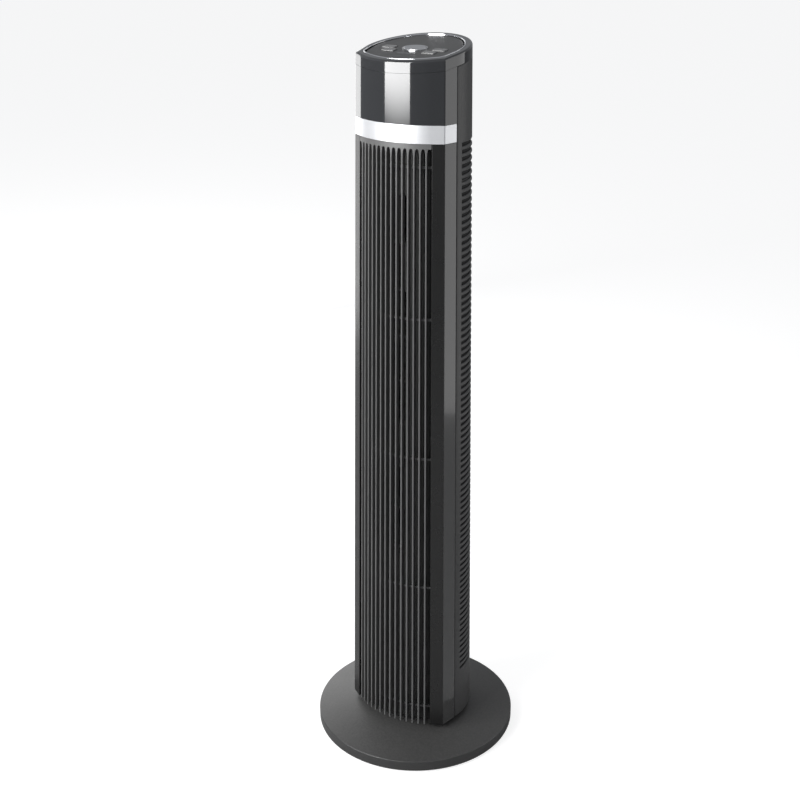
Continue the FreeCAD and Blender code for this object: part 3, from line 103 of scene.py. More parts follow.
def sideSpots(inset=0.0):
    # grille edge, corner and seam on the right
    turn = math.radians(tower["grilleAngle"])
    along = Vector((math.cos(turn), math.sin(turn), 0))
    corner = frontSpot(tower["grilleAngle"]) + along * tower["stripWidth"]
    trim = (rearSpot(-tower["seamAngle"]) - corner).normalized()
    corner = corner + Vector((-trim.y, trim.x, 0)) * inset
    edge = frontSpot(tower["grilleAngle"], inset)
    gap = corner - edge
    reach = (gap.x * trim.y - gap.y * trim.x) / (along.x * trim.y - along.y * trim.x)
    return edge, edge + along * reach, rearSpot(-tower["seamAngle"], inset)


def flipped(spots):
    return [Vector((-spot.x, spot.y, spot.z)) for spot in reversed(spots)]


def frontPath(inset=0.0, steps=36):
    # left seam, round the front, to the right seam
    edge, corner, seam = sideSpots(inset)
    half = tower["grilleAngle"]
    arc = [frontSpot(-half + 2 * half * i / steps, inset) for i in range(steps + 1)]
    return flipped([corner, seam]) + arc + [corner, seam]


def rearPath(inset=0.0, steps=60):
    start = -tower["seamAngle"]
    span = 180 - 2 * start
    return [rearSpot(start + span * i / steps, inset) for i in range(steps + 1)]


# mesh helpers


def raiseRows(bm, spots, heights, closed=False):
    # a wall that stands on a plan path and follows the taper
    spots = [taperStep(tower["foot"], heights[0]) @ (s + Vector((0, 0, tower["foot"])))
             for s in spots]
    verts = [bm.verts.new(spot) for spot in spots]
    ends = verts[1:] + (verts[:1] if closed else [])
    edges = [bm.edges.new(pair) for pair in zip(verts, ends)]
    rows = [edges]
    for low, high in zip(heights, heights[1:]):
        made = bmesh.ops.extrude_edge_only(bm, edges=rows[-1])["geom"]
        fresh = {part for part in made if isinstance(part, BMVert)}
        rows.append([part for part in made if isinstance(part, BMEdge)
                     and all(vert in fresh for vert in part.verts)])
        bmesh.ops.transform(bm, matrix=taperStep(low, high), verts=list(fresh))
    return rows


def raiseSolid(bm, spots, heights):
    rows = raiseRows(bm, spots, heights, closed=True)
    for row in (rows[0], rows[-1]):
        bmesh.ops.contextual_create(bm, geom=row)
    bmesh.ops.recalc_face_normals(bm, faces=bm.faces)


def slopePlane(frontHeight):
    lean = math.radians(tower["slope"])
    return (Vector((0, -tower["frontReach"], frontHeight)),
            Vector((0, -math.sin(lean), math.cos(lean))))


def keepBelow(bm, spot, normal):
    bmesh.ops.bisect_plane(bm, geom=bm.verts[:] + bm.edges[:] + bm.faces[:], dist=1e-7,
                           plane_co=spot, plane_no=normal, clear_outer=True)


def bevelEdges(bm, edges, width, segments=3):
    bmesh.ops.bevel(bm, geom=list(edges), offset=width, offset_type="OFFSET",
                    segments=segments, profile=0.5, affect="EDGES", material=-1,
                    clamp_overlap=True)


def sharpEdges(bm, degrees, keep=lambda edge: True):
    limit = math.radians(degrees)
    return [edge for edge in bm.edges if len(edge.link_faces) == 2
            and edge.calc_face_angle(0) > limit and keep(edge)]


def faceFront(bm):
    # an open wall's faces look away from the middle of the tower
    bmesh.ops.recalc_face_normals(bm, faces=bm.faces)
    if sum(face.normal.dot(face.calc_center_median() * Vector((1, 1, 0)))
           for face in bm.faces) < 0:
        bmesh.ops.reverse_faces(bm, faces=bm.faces)


def uprightEdge(edge):
    run = edge.verts[1].co - edge.verts[0].co
    return abs(run.z) > 0.9 * run.length


def finished(bm, name, body, material, nodes, solid=0.0, bevel=0.0, bevelAngle=50.0):
    # turns a bmesh into a piece that rides on its body and stands for its nodes
    for face in bm.faces:
        face.smooth = True
    if not bevel:
        for edge in sharpEdges(bm, 40):
            edge.smooth = False
    mesh = bpy.data.meshes.new(name)
    bm.to_mesh(mesh)
    bm.free()
    piece = bpy.data.objects.new(name, mesh)
    bpy.context.collection.objects.link(piece)
    mesh.materials.append(material)
    if solid:
        wall = piece.modifiers.new("wall", "SOLIDIFY")
        wall.thickness = solid
        wall.offset = -1.0
        wall.use_even_offset = True
    if bevel:
        edge = piece.modifiers.new("edges", "BEVEL")
        edge.width = bevel
        edge.segments = 2
        edge.limit_method = "ANGLE"
        edge.angle_limit = math.radians(bevelAngle)
    normals = piece.modifiers.new("normals", "WEIGHTED_NORMAL")
    normals.keep_sharp = True
    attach(piece, body)
    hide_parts(*nodes)


# shader groups


def newGroup(name, inputs, outputs):
    group = bpy.data.node_groups.new(name, "ShaderNodeTree")
    for label, kind, default in inputs:
        socket = group.interface.new_socket(name=label, in_out="INPUT", socket_type=kind)
        if default is not None:
            socket.default_value = default
    for label, kind in outputs:
        group.interface.new_socket(name=label, in_out="OUTPUT", socket_type=kind)
    return group, group.nodes.new("NodeGroupInput"), group.nodes.new("NodeGroupOutput")


def mathNode(tree, operation, first, second):
    node = tree.nodes.new("ShaderNodeMath")
    node.operation = operation
    for socket, value in zip(node.inputs, (first, second)):
        if isinstance(value, (int, float)):
            socket.default_value = value
        else:
            tree.links.new(value, socket)
    return node.outputs[0]


def noiseNode(tree, vector, scale, detail, roughness=0.5):
    node = tree.nodes.new("ShaderNodeTexNoise")
    node.inputs["Detail"].default_value = detail
    node.inputs["Roughness"].default_value = roughness
    if isinstance(scale, (int, float)):
        node.inputs["Scale"].default_value = scale
    else:
        tree.links.new(scale, node.inputs["Scale"])
    tree.links.new(vector, node.inputs["Vector"])
    return node.outputs["Fac"]


def mixColour(tree, factor, first, second):
    node = tree.nodes.new("ShaderNodeMix")
    node.data_type = "RGBA"
    for name, value in (("Factor", factor), ("A", first), ("B", second)):
        socket = next(s for s in node.inputs if s.name == name
                      and s.type == ("VALUE" if name == "Factor" else "RGBA"))
        if isinstance(value, (int, float, tuple)):
            socket.default_value = value
        else:
            tree.links.new(value, socket)
    return next(s for s in node.outputs if s.type == "RGBA")


def spreadNode(tree, value, low, high):
    node = tree.nodes.new("ShaderNodeMapRange")
    tree.links.new(value, node.inputs["Value"])
    for name, bound in (("To Min", low), ("To Max", high)):
        if isinstance(bound, (int, float)):
            node.inputs[name].default_value = bound
        else:
            tree.links.new(bound, node.inputs[name])
    return node.outputs["Result"]


def makeMouldedGroup():
    # fine spark-eroded grain, slow tone drift and slightly uneven polish
    group, given, result = newGroup(
        "mouldedSkin",
        [("Vector", "NodeSocketVector", None), ("Colour", "NodeSocketColor", (0.1, 0.1, 0.1, 1)),
         ("Drift", "NodeSocketFloat", 0.1), ("Grain Scale", "NodeSocketFloat", 1800.0),
         ("Roughness", "NodeSocketFloat", 0.4), ("Uneven", "NodeSocketFloat", 0.05)],
        [("Colour", "NodeSocketColor"), ("Roughness", "NodeSocketFloat"),
         ("Height", "NodeSocketFloat")])
    vector = given.outputs["Vector"]
    grain = noiseNode(group, vector, given.outputs["Grain Scale"], 3.0, 0.6)
    slow = noiseNode(group, vector, 9.0, 3.0)
    patch = noiseNode(group, vector, 55.0, 4.0)
    darker = mathNode(group, "SUBTRACT", 1.0, given.outputs["Drift"])
    lighter = mathNode(group, "ADD", 1.0, given.outputs["Drift"])
    tone = spreadNode(group, slow, darker, lighter)
    scaled = group.nodes.new("ShaderNodeVectorMath")
    scaled.operation = "SCALE"
    group.links.new(given.outputs["Colour"], scaled.inputs[0])
    group.links.new(tone, scaled.inputs["Scale"])
    group.links.new(scaled.outputs[0], result.inputs["Colour"])
    low = mathNode(group, "SUBTRACT", given.outputs["Roughness"], given.outputs["Uneven"])
    high = mathNode(group, "ADD", given.outputs["Roughness"], given.outputs["Uneven"])
    group.links.new(spreadNode(group, patch, low, high), result.inputs["Roughness"])
    group.links.new(grain, result.inputs["Height"])
    return group


def makeBrushedGroup():
    # long fine lines, as left by a brush or a drawn foil
    group, given, result = newGroup(
        "brushedLines",
        [("Vector", "NodeSocketVector", None), ("Colour", "NodeSocketColor", (0.6, 0.6, 0.6, 1)),
         ("Contrast", "NodeSocketFloat", 0.06), ("Roughness", "NodeSocketFloat", 0.3),
         ("Spread", "NodeSocketFloat", 0.08)],
        [("Colour", "NodeSocketColor"), ("Roughness", "NodeSocketFloat"),
         ("Height", "NodeSocketFloat")])
    stretch = group.nodes.new("ShaderNodeMapping")
    stretch.inputs["Scale"].default_value = (3.0, 3.0, 900.0)
    group.links.new(given.outputs["Vector"], stretch.inputs["Vector"])
    lines = noiseNode(group, stretch.outputs["Vector"], 4.0, 4.0, 0.65)
    low = mathNode(group, "SUBTRACT", 1.0, given.outputs["Contrast"])
    high = mathNode(group, "ADD", 1.0, given.outputs["Contrast"])
    scaled = group.nodes.new("ShaderNodeVectorMath")
    scaled.operation = "SCALE"
    group.links.new(given.outputs["Colour"], scaled.inputs[0])
    group.links.new(spreadNode(group, lines, low, high), scaled.inputs["Scale"])
    group.links.new(scaled.outputs[0], result.inputs["Colour"])
    rough = mathNode(group, "SUBTRACT", given.outputs["Roughness"], given.outputs["Spread"])
    rougher = mathNode(group, "ADD", given.outputs["Roughness"], given.outputs["Spread"])
    group.links.new(spreadNode(group, lines, rough, rougher), result.inputs["Roughness"])
    group.links.new(lines, result.inputs["Height"])
    return group


def makeDustGroup():
    # a thin veil of dust on faces that look up
    group, given, result = newGroup(
        "settledDust",
        [("Vector", "NodeSocketVector", None), ("Colour", "NodeSocketColor", (0.1, 0.1, 0.1, 1)),
         ("Roughness", "NodeSocketFloat", 0.4), ("Amount", "NodeSocketFloat", 0.1)],
        [("Colour", "NodeSocketColor"), ("Roughness", "NodeSocketFloat")])
    facing = group.nodes.new("ShaderNodeNewGeometry")
    split = group.nodes.new("ShaderNodeSeparateXYZ")
    group.links.new(facing.outputs["Normal"], split.inputs[0])
    upward = mathNode(group, "MAXIMUM", split.outputs["Z"], 0.0)
    speckle = spreadNode(group, noiseNode(group, given.outputs["Vector"], 420.0, 5.0, 0.7),
                         -0.6, 1.4)
    veil = mathNode(group, "MULTIPLY", mathNode(group, "MAXIMUM", speckle, 0.0), upward)
    veil = mathNode(group, "MULTIPLY", veil, given.outputs["Amount"])
    colour = mixColour(group, veil, given.outputs["Colour"], (0.34, 0.33, 0.31, 1))
    group.links.new(colour, result.inputs["Colour"])
    rough = mathNode(group, "ADD", given.outputs["Roughness"],
                     mathNode(group, "MULTIPLY", veil, 0.5))
    group.links.new(rough, result.inputs["Roughness"])
    return group


mouldedSkin = makeMouldedGroup()
brushedLines = makeBrushedGroup()
settledDust = makeDustGroup()


# materials


def newMaterial(name, skin, values, bump, dust=0.0, **constants):
    material = bpy.data.materials.new(name)
    material.use_nodes = True
    tree = material.node_tree
    shader = tree.nodes["Principled BSDF"]
    for socket, value in constants.items():
        shader.inputs[socket.replace("_", " ")].default_value = value
    place = tree.nodes.new("ShaderNodeTexCoord").outputs["Object"]
    node = tree.nodes.new("ShaderNodeGroup")
    node.node_tree = skin
    tree.links.new(place, node.inputs["Vector"])
    for socket, value in values.items():
        node.inputs[socket].default_value = value
    colour, rough = node.outputs["Colour"], node.outputs["Roughness"]
    if dust:
        veil = tree.nodes.new("ShaderNodeGroup")
        veil.node_tree = settledDust
        veil.inputs["Amount"].default_value = dust
        tree.links.new(place, veil.inputs["Vector"])
        tree.links.new(colour, veil.inputs["Colour"])
        tree.links.new(rough, veil.inputs["Roughness"])
        colour, rough = veil.outputs["Colour"], veil.outputs["Roughness"]
    tree.links.new(colour, shader.inputs["Base Color"])
    tree.links.new(rough, shader.inputs["Roughness"])
    relief = tree.nodes.new("ShaderNodeBump")
    relief.inputs["Strength"].default_value = bump[0]
    relief.inputs["Distance"].default_value = bump[1]
    tree.links.new(node.outputs["Height"], relief.inputs["Height"])
    tree.links.new(relief.outputs["Normal"], shader.inputs["Normal"])
    return material


def moulded(name, grey, roughness, grain=1800.0, strength=0.12, drift=0.08, uneven=0.04,
            dust=0.0, tint=(1.0, 1.0, 1.0), **constants):
    colour = tuple(grey * part for part in tint) + (1,)
    values = {"Colour": colour, "Drift": drift, "Grain Scale": grain, "Roughness": roughness,
              "Uneven": uneven}
    return newMaterial(name, mouldedSkin, values, (strength, 0.0003), dust, **constants)


def metal(name, colour, roughness, contrast=0.06, spread=0.06, strength=0.05, metallic=1.0,
          **constants):
    values = {"Colour": colour + (1,), "Contrast": contrast, "Roughness": roughness,
              "Spread": spread}
    return newMaterial(name, brushedLines, values, (strength, 0.0002), Metallic=metallic,
                       **constants)


finishes = dict(
    base_satin=moulded("satinBase", 0.040, 0.40, grain=2200, strength=0.10, dust=0.10),
    housing_satin=moulded("satinHousing", 0.050, 0.42, grain=2200, strength=0.14),
    grille_satin=moulded("satinGrille", 0.105, 0.34, grain=2600, strength=0.06),
    frame_satin=moulded("satinStrip", 0.010, 0.28, grain=2600, strength=0.06),
    trim_gloss=moulded("glossTrim", 0.045, 0.12, grain=900, strength=0.01, drift=0.04,
                       uneven=0.02, Coat_Weight=0.6, Coat_Roughness=0.05),
    head_gloss=moulded("glossHead", 0.028, 0.07, grain=700, strength=0.006, drift=0.05,
                       uneven=0.015, tint=(0.92, 0.96, 1.04), Coat_Weight=0.7,
                       Coat_Roughness=0.03),
    band_silver=metal("brushedBand", (0.80, 0.81, 0.83), 0.34, metallic=0.6),
    panel_satin=moulded("satinPanel", 0.045, 0.30, grain=2800, strength=0.10, dust=0.05),
    bright_trim=metal("chromeTrim", (0.86, 0.87, 0.89), 0.10, spread=0.03, contrast=0.02,
                      strength=0.01),
    key_grey=moulded("greyKey", 0.16, 0.26, grain=2400, strength=0.05, Coat_Weight=0.4,
                     Coat_Roughness=0.12),
    button_silver=metal("satinButton", (0.70, 0.71, 0.73), 0.24, spread=0.05),
    lens_smoke=moulded("smokedLens", 0.010, 0.05, grain=600, strength=0.0, drift=0.02,
                       uneven=0.01, Coat_Weight=1.0),
    filter_foam=moulded("filterFoam", 0.014, 0.85, grain=1100, strength=0.9, uneven=0.08),
    rubber_black=moulded("blackRubber", 0.016, 0.75, grain=900, strength=0.35, uneven=0.08),
    wheel_black=moulded("blackWheel", 0.022, 0.48, grain=1600, strength=0.15, dust=0.12),
    steel_plain=metal("turnedSteel", (0.56, 0.57, 0.58), 0.28, contrast=0.12),
    steel_zinc=metal("zincPlate", (0.62, 0.64, 0.66), 0.36, contrast=0.15),
    bronze_bush=metal("sinteredBronze", (0.46, 0.31, 0.16), 0.45, contrast=0.2),
    copper_wire=metal("enamelledCopper", (0.72, 0.29, 0.12), 0.30, contrast=0.3),
    core_steel=metal("laminatedCore", (0.30, 0.30, 0.31), 0.50, contrast=0.35),
    weight_iron=moulded("castIron", 0.075, 0.62, grain=700, strength=0.5, drift=0.2,
                        Metallic=0.4),
    acetal_white=moulded("whiteAcetal", 0.70, 0.38, grain=1500, strength=0.05),
    inner_black=moulded("matBlack", 0.018, 0.55, grain=1800, strength=0.2, dust=0.05),
    board_green=moulded("boardGreen", 0.09, 0.35, grain=1200, strength=0.08, drift=0.15,
                        tint=(0.25, 1.0, 0.42)),
    parts_dark=moulded("darkParts", 0.035, 0.40, grain=1500, strength=0.1),
)
for part in frame["record"]["subparts"]:
    data = frame["nodes"][part["node"]].data
    data.materials.clear()
    data.materials.append(finishes[part["material_slot"]])
print("materials:", len(finishes))


# round base
basePlate = dict(
    radius=0.117,
    rim=0.015,          # top of the upright edge
    seat=0.058,         # flat seat in the middle
    bore=0.01505,
    wall=0.003,
    edge=0.0011,        # rounding along the rim
    seatRound=0.016,    # where the seat turns into the slope
    footEdge=0.0006,
    steps=160,
)


def makeBasePlate():
    foot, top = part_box("base_plate")[0].z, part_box("base_plate")[1].z
    wall, radius, rim = basePlate["wall"], basePlate["radius"], basePlate["rim"]
    under = top - wall
    profile = [(basePlate["bore"], under), (basePlate["bore"], top), (basePlate["seat"], top),
               (radius, rim), (radius, foot), (radius - wall, foot),
               (radius - wall, rim - wall), (basePlate["seat"], under)]
    bm = bmesh.new()
    verts = [bm.verts.new((r, 0, z)) for r, z in profile]
    edges = [bm.edges.new(pair) for pair in zip(verts, verts[1:] + verts[:1])]
    for spot, size, segments in ((3, "edge", 4), (2, "seatRound", 6), (4, "footEdge", 2)):
        bmesh.ops.bevel(bm, geom=[verts[spot]], offset=basePlate[size], offset_type="OFFSET",
                        segments=segments, profile=0.5, affect="VERTICES", material=-1)
    bmesh.ops.spin(bm, geom=bm.verts[:] + bm.edges[:], cent=(0, 0, 0), axis=(0, 0, 1),
                   angle=math.tau, steps=basePlate["steps"], use_merge=True)
    bmesh.ops.remove_doubles(bm, verts=bm.verts, dist=1e-6)
    bmesh.ops.recalc_face_normals(bm, faces=bm.faces)
    finished(bm, "base_dome", "base", finishes["base_satin"], ["base_plate"])


rubberFeet = dict(
    radius=0.0065,
    narrow=0.93,        # radius at the floor, as a share of the radius at the top
    circle=0.106,
    count=12,
    sides=28,
    edge=0.0006,
)


def makeRubberFeet():
    low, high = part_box("rubber_feet")[0].z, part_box("rubber_feet")[1].z
    bm = bmesh.new()
    for i in range(rubberFeet["count"]):
        turn = math.tau * i / rubberFeet["count"]
        spot = (rubberFeet["circle"] * math.cos(turn), rubberFeet["circle"] * math.sin(turn),
                (low + high) / 2)
        bmesh.ops.create_cone(bm, cap_ends=True, segments=rubberFeet["sides"],
                              radius1=rubberFeet["radius"] * rubberFeet["narrow"],
                              radius2=rubberFeet["radius"], depth=high - low,
                              matrix=Matrix.Translation(spot))
    bevelEdges(bm, sharpEdges(bm, 40, lambda edge: edge.verts[0].co.z < high - 1e-5),
               rubberFeet["edge"])
    finished(bm, "foot_pads", "base", finishes["rubber_black"], ["rubber_feet"])


makeBasePlate()
makeRubberFeet()
print("base made")


# rear housing with its ladder of louvre slots
rearHousing = dict(
    pitch=0.00717,
    slot=0.0034,
    count=86,
    topGap=0.002,       # below the silver band
    margin=9.0,         # degrees of plain wall beside the seam
    spine=4.0,          # half of the plain spine
    steps=20,           # columns across one field of slots
    ribEdge=0.0013,
    overTop=0.045,      # raised past the seam, then cut along the slope
)


def slotField():
    # degrees where the slots start and end, on the right
    return rearHousing["margin"] - tower["seamAngle"], 90 - rearHousing["spine"]


def rearAngles():
    trim = math.degrees(tower["seamGap"] / tower["rearRadius"])
    start = trim - tower["seamAngle"]
    first, last = slotField()
    field = [first + (last - first) * i / rearHousing["steps"]
             for i in range(rearHousing["steps"] + 1)]
    right = [start, (start + first) / 2] + field
    return right + [90.0] + [180 - angle for angle in reversed(right)]


def makeRearHousing():
    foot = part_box("rear_housing")[0].z
    slots = [bandFoot - rearHousing["topGap"] - rearHousing["pitch"] * (i + 0.5)
             for i in range(rearHousing["count"])]
    heights = sorted([foot, bandFoot, bandTop] + slots
                     + [low + rearHousing["slot"] for low in slots])
    heights.append(seamFront + rearHousing["overTop"])
    bm = bmesh.new()
    raiseRows(bm, [rearSpot(angle) for angle in rearAngles()], heights)
    bmesh.ops.recalc_face_normals(bm, faces=bm.faces)
    first, last = slotField()
    holes = []
    for face in bm.faces:
        middle = face.calc_center_median()
        share = shareAt(middle.z)
        side = abs(middle.x) / share
        back = tower["taperBack"] + (middle.y - tower["taperBack"]) / share
        angle = math.degrees(math.atan2(back + tower["rearCentre"], side))
        if first < angle < last and any(low < middle.z < low + rearHousing["slot"]
                                        for low in slots):
            holes.append(face)
    bmesh.ops.delete(bm, geom=holes, context="FACES")
    faceFront(bm)
    keepBelow(bm, *slopePlane(seamFront - tower["seamGap"]))
    finished(bm, "louvred_back", "tower", finishes["housing_satin"],
             ["rear_housing"], solid=tower["wall"], bevel=rearHousing["ribEdge"])


makeRearHousing()
print("rear housing made")


# front comb: fins that hang from a header
frontComb = dict(
    count=14,
    pitch=4.2,          # degrees
    thin=0.0020,
    depth=0.0080,
    back=0.7,           # thickness at the back, as a share of the front
    open=0.50,          # fins at their wide end, as a share of the pitch
    flare=0.0090,
    header=0.0050,
    flareCurve=((0.35, 0.16), (0.65, 0.58)),    # share of the flare's height, of its width
    arch=0.0018,        # height of the rounding at the top of each gap
    archTurns=(0.45, 0.9, 1.3),                 # radians
    edge=0.0005,
    endGap=0.35,        # degrees between the header and the strips
    rails=5,
    railMargin=0.020,
    railHeight=0.0025,
    railDepth=0.0020,
    railSteps=28,
)


def combRow(bm, degrees, height, left, right, back, lift=0.0):
    # one section of a fin: its front edge reaches left and right of its middle line
    turn = math.radians(degrees)
    across = Vector((math.cos(turn), math.sin(turn), 0))
    inward = Vector((-math.sin(turn), math.cos(turn), 0)) * frontComb["depth"]
    middle = frontSpot(degrees)
    spots = [middle - across * left, middle + across * right,
             middle + inward + across * right * back, middle + inward - across * left * back]
    rise = Vector((0, 0, tower["foot"]))
    verts = [bm.verts.new(taperStep(tower["foot"], height) @ (spot + rise)) for spot in spots]
    for vert in verts[2:]:
        vert.co.z += lift
    return [bm.edges.new(pair) for pair in zip(verts, verts[1:] + verts[:1])]


def combCell(bm, degrees, foot, header, top, first, last):
    half = tower["frontRadius"] * math.tan(math.radians(frontComb["pitch"] / 2))
    closing = (tower["frontRadius"] - frontComb["depth"]) / tower["frontRadius"]
    wide, thin = half * frontComb["open"], frontComb["thin"] / 2
    flare, arch = header - frontComb["flare"], frontComb["arch"]
    plain = [(foot, thin), (flare, thin)]
    plain += [(flare + rise * frontComb["flare"], thin + growth * (wide - thin))
              for rise, growth in frontComb["flareCurve"]]
    plain.append((header - arch, wide))
    plain += [(header - arch * (1 - math.sin(turn)), half - (half - wide) * math.cos(turn))
              for turn in frontComb["archTurns"]]
    rows = []
    for height, width in plain:
        share = (height - flare) / frontComb["flare"]
        back = frontComb["back"] + (closing - frontComb["back"]) * max(0.0, share)
        rows.append(combRow(bm, degrees, height, width, width, back,
                            frontComb["depth"] if height == foot else 0.0))
    rows.append(combRow(bm, degrees, header, half, half, closing))
    end = tower["frontRadius"] * math.tan(math.radians(
        tower["grilleAngle"] - frontComb["endGap"]
        - frontComb["pitch"] * (frontComb["count"] - 1) / 2))
    left, right = (end if first else half), (end if last else half)
    if first or last:
        rows.append(combRow(bm, degrees, header, left, right, closing))
    rows.append(combRow(bm, degrees, top, left, right, closing))
    across = Vector((math.cos(math.radians(degrees)), math.sin(math.radians(degrees)), 0))
    for low, high in zip(rows, rows[1:]):
        made = bmesh.ops.bridge_loops(bm, edges=low + high)["faces"]
        if high is rows[-1]:
            inner = [face for face in made if abs(face.normal.dot(across)) > 0.9
                     and not (first and leftOf(face, degrees))
                     and not (last and not leftOf(face, degrees))]
            bmesh.ops.delete(bm, geom=inner, context="FACES_ONLY")
    for row in (rows[0], rows[-1]):
        bmesh.ops.contextual_create(bm, geom=row)


def leftOf(face, degrees):
    spot = face.calc_center_median()
    middle = taperStep(tower["foot"], spot.z) @ (frontSpot(degrees)
                                                 + Vector((0, 0, tower["foot"])))
    return (spot - middle).dot(Vector((math.cos(math.radians(degrees)),
                                       math.sin(math.radians(degrees)), 0))) < 0


def frontEdge(edge):
    for vert in edge.verts:
        plan = taperStep(vert.co.z, tower["foot"]) @ vert.co
        centre = tower["frontRadius"] - tower["frontReach"]
        if math.hypot(plan.x, plan.y - centre) < tower["frontRadius"] - 0.001:
            return False
    return True


def makeFrontComb():
    foot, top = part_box("front_grille")[0].z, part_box("front_grille")[1].z
    header = top - frontComb["header"]
    count, pitch = frontComb["count"], frontComb["pitch"]
    bm = bmesh.new()
    for i in range(count):
        combCell(bm, (i - (count - 1) / 2) * pitch, foot, header, top, i == 0, i == count - 1)
    bmesh.ops.remove_doubles(bm, verts=bm.verts, dist=1e-6)
    bmesh.ops.recalc_face_normals(bm, faces=bm.faces)
    edges = sharpEdges(bm, 40, lambda edge: frontEdge(edge) and max(
        vert.co.z for vert in edge.verts) < header + 1e-5 and abs(
        edge.verts[0].co.z - edge.verts[1].co.z) > 1e-5)
    bmesh.ops.bevel(bm, geom=edges, offset=frontComb["edge"], offset_type="OFFSET", segments=3,
                    profile=0.5, affect="EDGES", material=-1, clamp_overlap=False)
    half = tower["grilleAngle"] - 0.1
    margin, rails, steps = (frontComb[key] for key in ("railMargin", "rails", "railSteps"))
    for i in range(rails):
        height = foot + margin + (header - foot - 2 * margin) * i / (rails - 1)
        arcs = [[frontSpot(-half + 2 * half * k / steps, inset) for k in range(steps + 1)]
                for inset in (frontComb["depth"] - frontComb["railDepth"], frontComb["depth"])]
        raiseSolid(bm, arcs[0] + arcs[1][::-1], [height, height + frontComb["railHeight"]])
    finished(bm, "front_comb", "tower", finishes["grille_satin"],
             ["front_grille"])


makeFrontComb()
print("comb made")


# strips beside the comb, the wall behind it with the outlet, and the bevelled trims
frontFrame = dict(
    screenGap=0.005,    # space between the fins and the inner wall
    screenWall=0.002,
    screenEdge=0.0004,
    screenSteps=30,
    outletLeft=-0.032,
    outletRight=0.014,
    edge=0.0007,
    stripEdge=0.0006,
)


def makeSideStrips():
    foot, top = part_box("front_frame")[0].z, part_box("front_frame")[1].z
    bm = bmesh.new()
    outer, inner = sideSpots(), sideSpots(tower["wall"])
    right = [outer[0], outer[1], inner[1], inner[0]]
    turn = math.degrees(tower["wall"] / tower["frontRadius"])
    half, wall = tower["grilleAngle"], tower["wall"]
    deep = frontComb["depth"] + frontFrame["screenGap"] + frontFrame["screenWall"]
    behind = [frontSpot(half, wall), frontSpot(half + turn, wall), frontSpot(half + turn, deep),
              frontSpot(half, deep)]
    for outline in (right, flipped(right), behind, flipped(behind)):
        raiseSolid(bm, outline, [foot, top])
    bmesh.ops.recalc_face_normals(bm, faces=bm.faces)
    bevelEdges(bm, sharpEdges(bm, 30), frontFrame["stripEdge"], 3)
    finished(bm, "side_strips", "tower", finishes["frame_satin"],
             ["front_frame"])


def makeOutletWall():
    foot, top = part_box("front_frame")[0].z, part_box("front_frame")[1].z
    low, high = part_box("wheel_segments")[0].z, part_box("wheel_segments")[1].z
    half = tower["grilleAngle"]
    inset = frontComb["depth"] + frontFrame["screenGap"]
    steps = frontFrame["screenSteps"]
    bm = bmesh.new()
    raiseRows(bm, [frontSpot(-half + 2 * half * i / steps, inset) for i in range(steps + 1)],
              [foot, low, high, top])
    for edge in (frontFrame["outletLeft"], frontFrame["outletRight"]):
        bmesh.ops.bisect_plane(bm, geom=bm.verts[:] + bm.edges[:] + bm.faces[:], dist=1e-6,
                               plane_co=(edge, 0, 0), plane_no=(1, 0, 0))
    window = [face for face in bm.faces if low < face.calc_center_median().z < high
              and frontFrame["outletLeft"] < face.calc_center_median().x
              < frontFrame["outletRight"]]
    bmesh.ops.delete(bm, geom=window, context="FACES")
    faceFront(bm)
    finished(bm, "outlet_wall", "tower", finishes["inner_black"],
             ["front_frame"], solid=frontFrame["screenWall"], bevel=frontFrame["screenEdge"])


def makeSideTrim(side):
    foot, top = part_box("side_trim_" + side)[0].z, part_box("side_trim_" + side)[1].z
    outer, inner = sideSpots(), sideSpots(tower["wall"])
    gap = (outer[1] - outer[2]).normalized() * tower["seamGap"]
    outline = [outer[1] - gap, outer[2], inner[2], inner[1] - gap]
    bm = bmesh.new()
    raiseSolid(bm, outline if side == "right" else flipped(outline), [foot, top])
    bevelEdges(bm, sharpEdges(bm, 30), frontFrame["edge"], 3)
    finished(bm, "gloss_trim_" + side, "tower", finishes["trim_gloss"],
             ["side_trim_" + side])


makeSideStrips()
makeOutletWall()
makeSideTrim("left")
makeSideTrim("right")
print("front frame made")


# silver band and gloss head
headShells = dict(
    corner=0.0010,
    seamEdge=0.00035,
    overTop=0.04,       # raised past the seam, then cut along the slope
)


def makeBand():
    bm = bmesh.new()
    raiseRows(bm, frontPath(), [bandFoot, bandTop])
    faceFront(bm)
    bevelEdges(bm, sharpEdges(bm, 20, uprightEdge), headShells["corner"], 3)
    finished(bm, "silver_hoop", "tower", finishes["band_silver"],
             ["silver_band"], solid=tower["wall"], bevel=headShells["seamEdge"], bevelAngle=60)


def makeHead():
    bm = bmesh.new()
    raiseRows(bm, frontPath(), [bandTop, (bandTop + seamFront) / 2,
                                seamFront + headShells["overTop"]])
    faceFront(bm)
    bevelEdges(bm, sharpEdges(bm, 20, uprightEdge), headShells["corner"], 3)
    keepBelow(bm, *slopePlane(seamFront - tower["seamGap"]))
    finished(bm, "gloss_head", "tower", finishes["head_gloss"],
             ["head_shell"], solid=tower["wall"], bevel=headShells["seamEdge"], bevelAngle=60)


makeBand()
makeHead()
print("head made")


# top: cap with a rounded shoulder, bright bead round the panel
topRings = dict(
    shoulder=0.0021,
    corner=0.0022,
    beadInset=0.0075,
    beadWidth=0.0018,
    beadStand=0.0005,
    beadEdge=0.0006,
    beadCorner=0.014,
    hairGap=0.0002,
    panelDrop=0.0008,
    panelThickness=0.0025,
)


